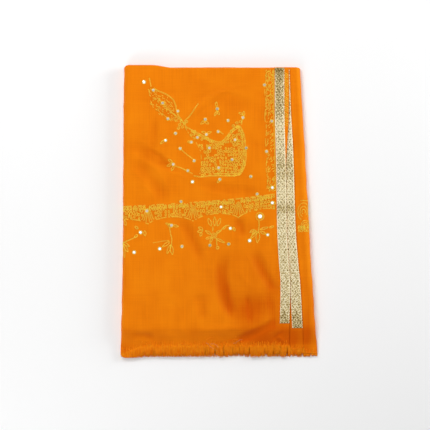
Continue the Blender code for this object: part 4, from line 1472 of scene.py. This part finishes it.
# The hidden plies: a soft core with the right third's roll at the top, and separate ply ends at the fringe.
core = {
    "inset": 1.3,
    "underFront": 1.6,
    "setBack": 16.0,
    "sideRound": 8.0,
    "rollProfile": ((1.0, 0.0), (0.97, 1.2), (0.86, 2.6), (0.66, 3.7), (0.4, 4.4), (0.12, 4.7)),
    "rollBack": 5.1,           # how far the roll's first row lies behind the top line
    "plyShares": (0.18, 0.32, 0.46, 0.60, 0.74, 0.88),      # heights at which plies end
    "plyDepth": 40.0,
    "plyThick": 0.5,
    "plyGrid": (10, 96),       # rows and columns
    "plyWidth": 310,
    "plySetBack": 5.5,         # their ends lie this far behind the front ply's
    "plyEndAtFold": -247.5,
    "plySlant": (8, 34),
    "plyInside": (2.2, 4),     # of the left fold, and of the right ply's hidden edge
    "plyRound": 7.0,
    "plyFloor": 1.2,
    "lowest": 0.9,
}


def roundedShare(reach, least):
    # The height of a rounded edge, as a share, where reach runs from 0 at the edge to 1.
    return np.sqrt(np.clip(1 - np.maximum(1 - reach, 0.0) ** 2, least, 1.0))


def coreTop(x, y):
    edge = outlineAt["innerTape"](y)
    underFront = frontHeight(x, y) - core["underFront"]
    underSecond = secondHeight(x, y) - core["underFront"]
    underRight = rightHeight(x, y) - core["inset"]
    besideFront = np.where(x < edge - bundle["rightHidden"] - 0.7, underSecond, underRight)
    return np.where(x < edge - bundle["secondHidden"], underFront, besideFront)


def buildCore():
    start = bundle["rightEnd"] + core["setBack"]
    top = bundle["topOfFront"] - bundle["hiddenShort"]
    rows = np.linspace(start, top, 90)
    left = lambda y: outlineAt["leftFold"](y) + core["inset"]
    right = lambda y: outlineAt["rightFold"](y) - core["inset"]
    across = right(rows[-1]) - left(rows[-1])
    rollEnd = (outlineAt["innerTape"](rows[-1]) - bundle["rightHidden"] - left(rows[-1])) / across
    # Columns lie closer at both sides and where the roll ends.
    shares = np.sort(np.concatenate((
        np.linspace(0, 0.06, 12), np.linspace(0.06, 0.94, 60)[1:-1], np.linspace(0.94, 1, 8),
        rollEnd + np.array((-0.008, -0.002, 0.002, 0.008)))))
    upper, lower = [], []

    def addRow(x, y, middle, up, down):
        upper.append(np.stack(np.broadcast_arrays(x, y, middle + up), axis=-1))
        lower.append(np.stack(np.broadcast_arrays(x, y, middle - down), axis=-1))

    for y in rows:
        x = mix(left(y), right(y), shares)
        high = coreTop(np.clip(x, left(y) + 8, right(y) - 8), y)
        reach = np.minimum(shares, 1 - shares) * float(right(y) - left(y))
        rounded = roundedShare(reach / core["sideRound"], 0.003)
        middle = (high + core["inset"]) / 2
        addRow(x, y, middle, (high - middle) * rounded, (middle - core["inset"]) * rounded)
    # The right third's own roll shows between the two other rolls, as far as the right ply's hidden edge.
    low = 2 * bundle["lowerRoll"] + 0.3
    for tall, step in core["rollProfile"]:
        y = bundle["topOfRight"] - core["rollBack"] + step
        x = mix(left(y), right(y), shares)
        ends = ease((x - left(y) - 4.6) / 2.4) * ease((rollEnd - shares) / 0.002)
        high = rightHeight(x, y) - 0.3
        half = (high - low) / 2 * mix(0.06, tall, ends)
        addRow(x, mix(top + 0.1 * step, y + 0.5 * sideRipple(x, 0.0), ends), (low + high) / 2, half, half)
    upper, lower = np.array(upper), np.array(lower)
    return shellPiece("innerPlies", upper, lower, upper[..., :2].copy(), innerShadedMaterial)


def buildPlyEnds():
    points, faces, uvs = [], [], []
    rng = random.Random(61)
    rows, columns = core["plyGrid"]
    s = np.linspace(0, 1, columns)
    along = s * core["plyWidth"]
    slant = ease((along - core["plySlant"][0]) / core["plySlant"][1])
    insideLeft, insideRight = core["plyInside"]
    for share in core["plyShares"]:
        wave = makeRipple(rng.random(), 22.0, 0.8)
        lag = rng.uniform(-3.0, 3.5)
        faces += shellFaces(rows, columns, len(points))
        end = mix(core["plyEndAtFold"], bundle["frontEnd"] - core["plySetBack"], slant)
        end = end + lag * ease(s * 6) + wave(along, 0.0)
        for under in (0.0, core["plyThick"]):
            for t in np.linspace(0, 1, rows):
                y = end + core["plyDepth"] * t
                left = outlineAt["leftFold"](y) + insideLeft
                right = outlineAt["innerTape"](y) - bundle["rightHidden"] - insideRight
                x = mix(left, right, s)
                high = coreTop(np.maximum(x, left + 8), np.maximum(y, bundle["frontEnd"] - 2)) - 0.4
                rounded = roundedShare((x - left) / core["plyRound"], 0.0)
                middle = (high + core["plyFloor"]) / 2
                z = middle + (mix(core["plyFloor"], high, share) - middle) * mix(0.25, 1.0, rounded) - under
                z = z + 0.25 * wave(x, y * 2)
                points.extend(np.stack((x, y, np.maximum(z, core["lowest"])), axis=-1))
                uvs.extend(np.stack((x, y), axis=-1))
    return addPiece("plyEnds", np.array(points), faces, innerShadedMaterial, np.array(uvs))


innerPlies = buildCore()
plyEnds = buildPlyEnds()
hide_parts("hidden_layers")
innerThreads = buildThreads(
    "innerThreads", fringe["inner"], lambda u: float(frontEndLine(u)) - core["plySetBack"],
    lambda u, y: (u, y, 4.4), 59)
print("hidden plies filled in")


# Loose ends of thread that lie on the hem.
loose = {
    "area": ((-34, 26), (-238, -214)),
    "count": 16,
    "paleEvery": 4,
    "steps": 14,
    "step": (1.5, 1.1),
    "lowestY": -243.0,
    "thread": 0.24,
    "lift": 0.5,
}


def buildLoose(name, pale, material, seed):
    rng = random.Random(seed)
    points, faces = [], []
    (lowX, highX), (lowY, highY) = loose["area"]
    for k in range(loose["count"]):
        if (k % loose["paleEvery"] == 0) != pale:
            continue
        x, y, turn = rng.uniform(lowX, highX), rng.uniform(lowY, highY), rng.uniform(-0.9, 0.9)
        path = []
        for step in range(loose["steps"]):
            turn += rng.uniform(-0.45, 0.45)
            x += loose["step"][0] * math.cos(turn)
            y = max(y + loose["step"][1] * math.sin(turn), loose["lowestY"])
            ground = float(frontHeight(x, max(y, bundle["frontEnd"])))
            sink = float(ease((bundle["frontEnd"] - y) / 16)) * 4.0
            path.append(np.array((x, y, ground - sink + loose["lift"] + 0.25 * math.sin(step))))
        threadTube(points, faces, path, loose["thread"])
    return addPiece(name, np.array(points), faces, material)


looseThreads = buildLoose("looseThreads", False, saffronThread, 71)
paleThreads = buildLoose("paleThreads", True, paleThread, 73)


# Floor, light and camera.
studio = {
    "floor": (0.98, 0.98, 0.98),
    "floorHalf": 4.0,
    "floorDrop": 0.0004,
    "worldStrength": 0.25,
    "lights": [                   # name, place, size and power
        ("key", (-0.6, 1.0, 1.15), 0.6, 11.6),
        ("fill", (1.65, 0.6, 0.62), 0.8, 18.6),
        ("side", (-0.70, -0.90, 0.80), 0.6, 5.0),
        ("panel", (-0.2, -0.1, 2.4), 1.5, 7.5),     # above, for the gold and the mirrors to reflect
    ],
    "cameraHeight": 2.2,
    "frame": 430,                 # pixels
    "photoPixel": 1.7275,         # millimetres at the floor in one pixel of the frame
    "objectMiddle": (219.2, 212.2),
}


def addObject(name, data, place):
    made = bpy.data.objects.new(name, data)
    made.location = place
    bpy.context.scene.collection.objects.link(made)
    return made


def buildFloor():
    half = studio["floorHalf"]
    mesh = bpy.data.meshes.new("floor")
    mesh.from_pydata([(x, y, 0) for x, y in ((-half, -half), (half, -half), (half, half), (-half, half))],
                     [], [(0, 1, 2, 3)])
    mesh.materials.append(newMaterial("paleFloor", colour=studio["floor"], roughness=0.9, specular=0.0)[0])
    return addObject("floor", mesh, (0, 0, -studio["floorDrop"]))


def buildLights():
    for name, place, size, power in studio["lights"]:
        light = bpy.data.lights.new(name, "AREA")
        light.energy, light.size = power, size
        aim = -np.array(place)
        tilt = math.acos(-aim[2] / np.linalg.norm(aim))
        lamp = addObject(name, light, place)
        lamp.rotation_euler = (tilt, 0.0, math.atan2(aim[1], aim[0]) - math.pi / 2)
    world = bpy.data.worlds.new("studio")
    world.use_nodes = True
    sky = world.node_tree.nodes["Background"].inputs
    sky["Color"].default_value = (1.0, 1.0, 1.0, 1.0)
    sky["Strength"].default_value = studio["worldStrength"]
    bpy.context.scene.world = world


def buildCamera():
    camera = bpy.data.cameras.new("camera")
    pixel, height, middle = studio["photoPixel"] * mm, studio["cameraHeight"], studio["frame"] / 2
    camera.lens = camera.sensor_width * height / (studio["frame"] * pixel)
    x, y = studio["objectMiddle"]
    return addObject("camera", camera, ((middle - x) * pixel, (y - middle) * pixel, height))


floor = buildFloor()
buildLights()
scene = bpy.context.scene
scene.camera = buildCamera()
scene.view_settings.view_transform = "Standard"
scene.view_settings.look = "None"
print("studio ready")
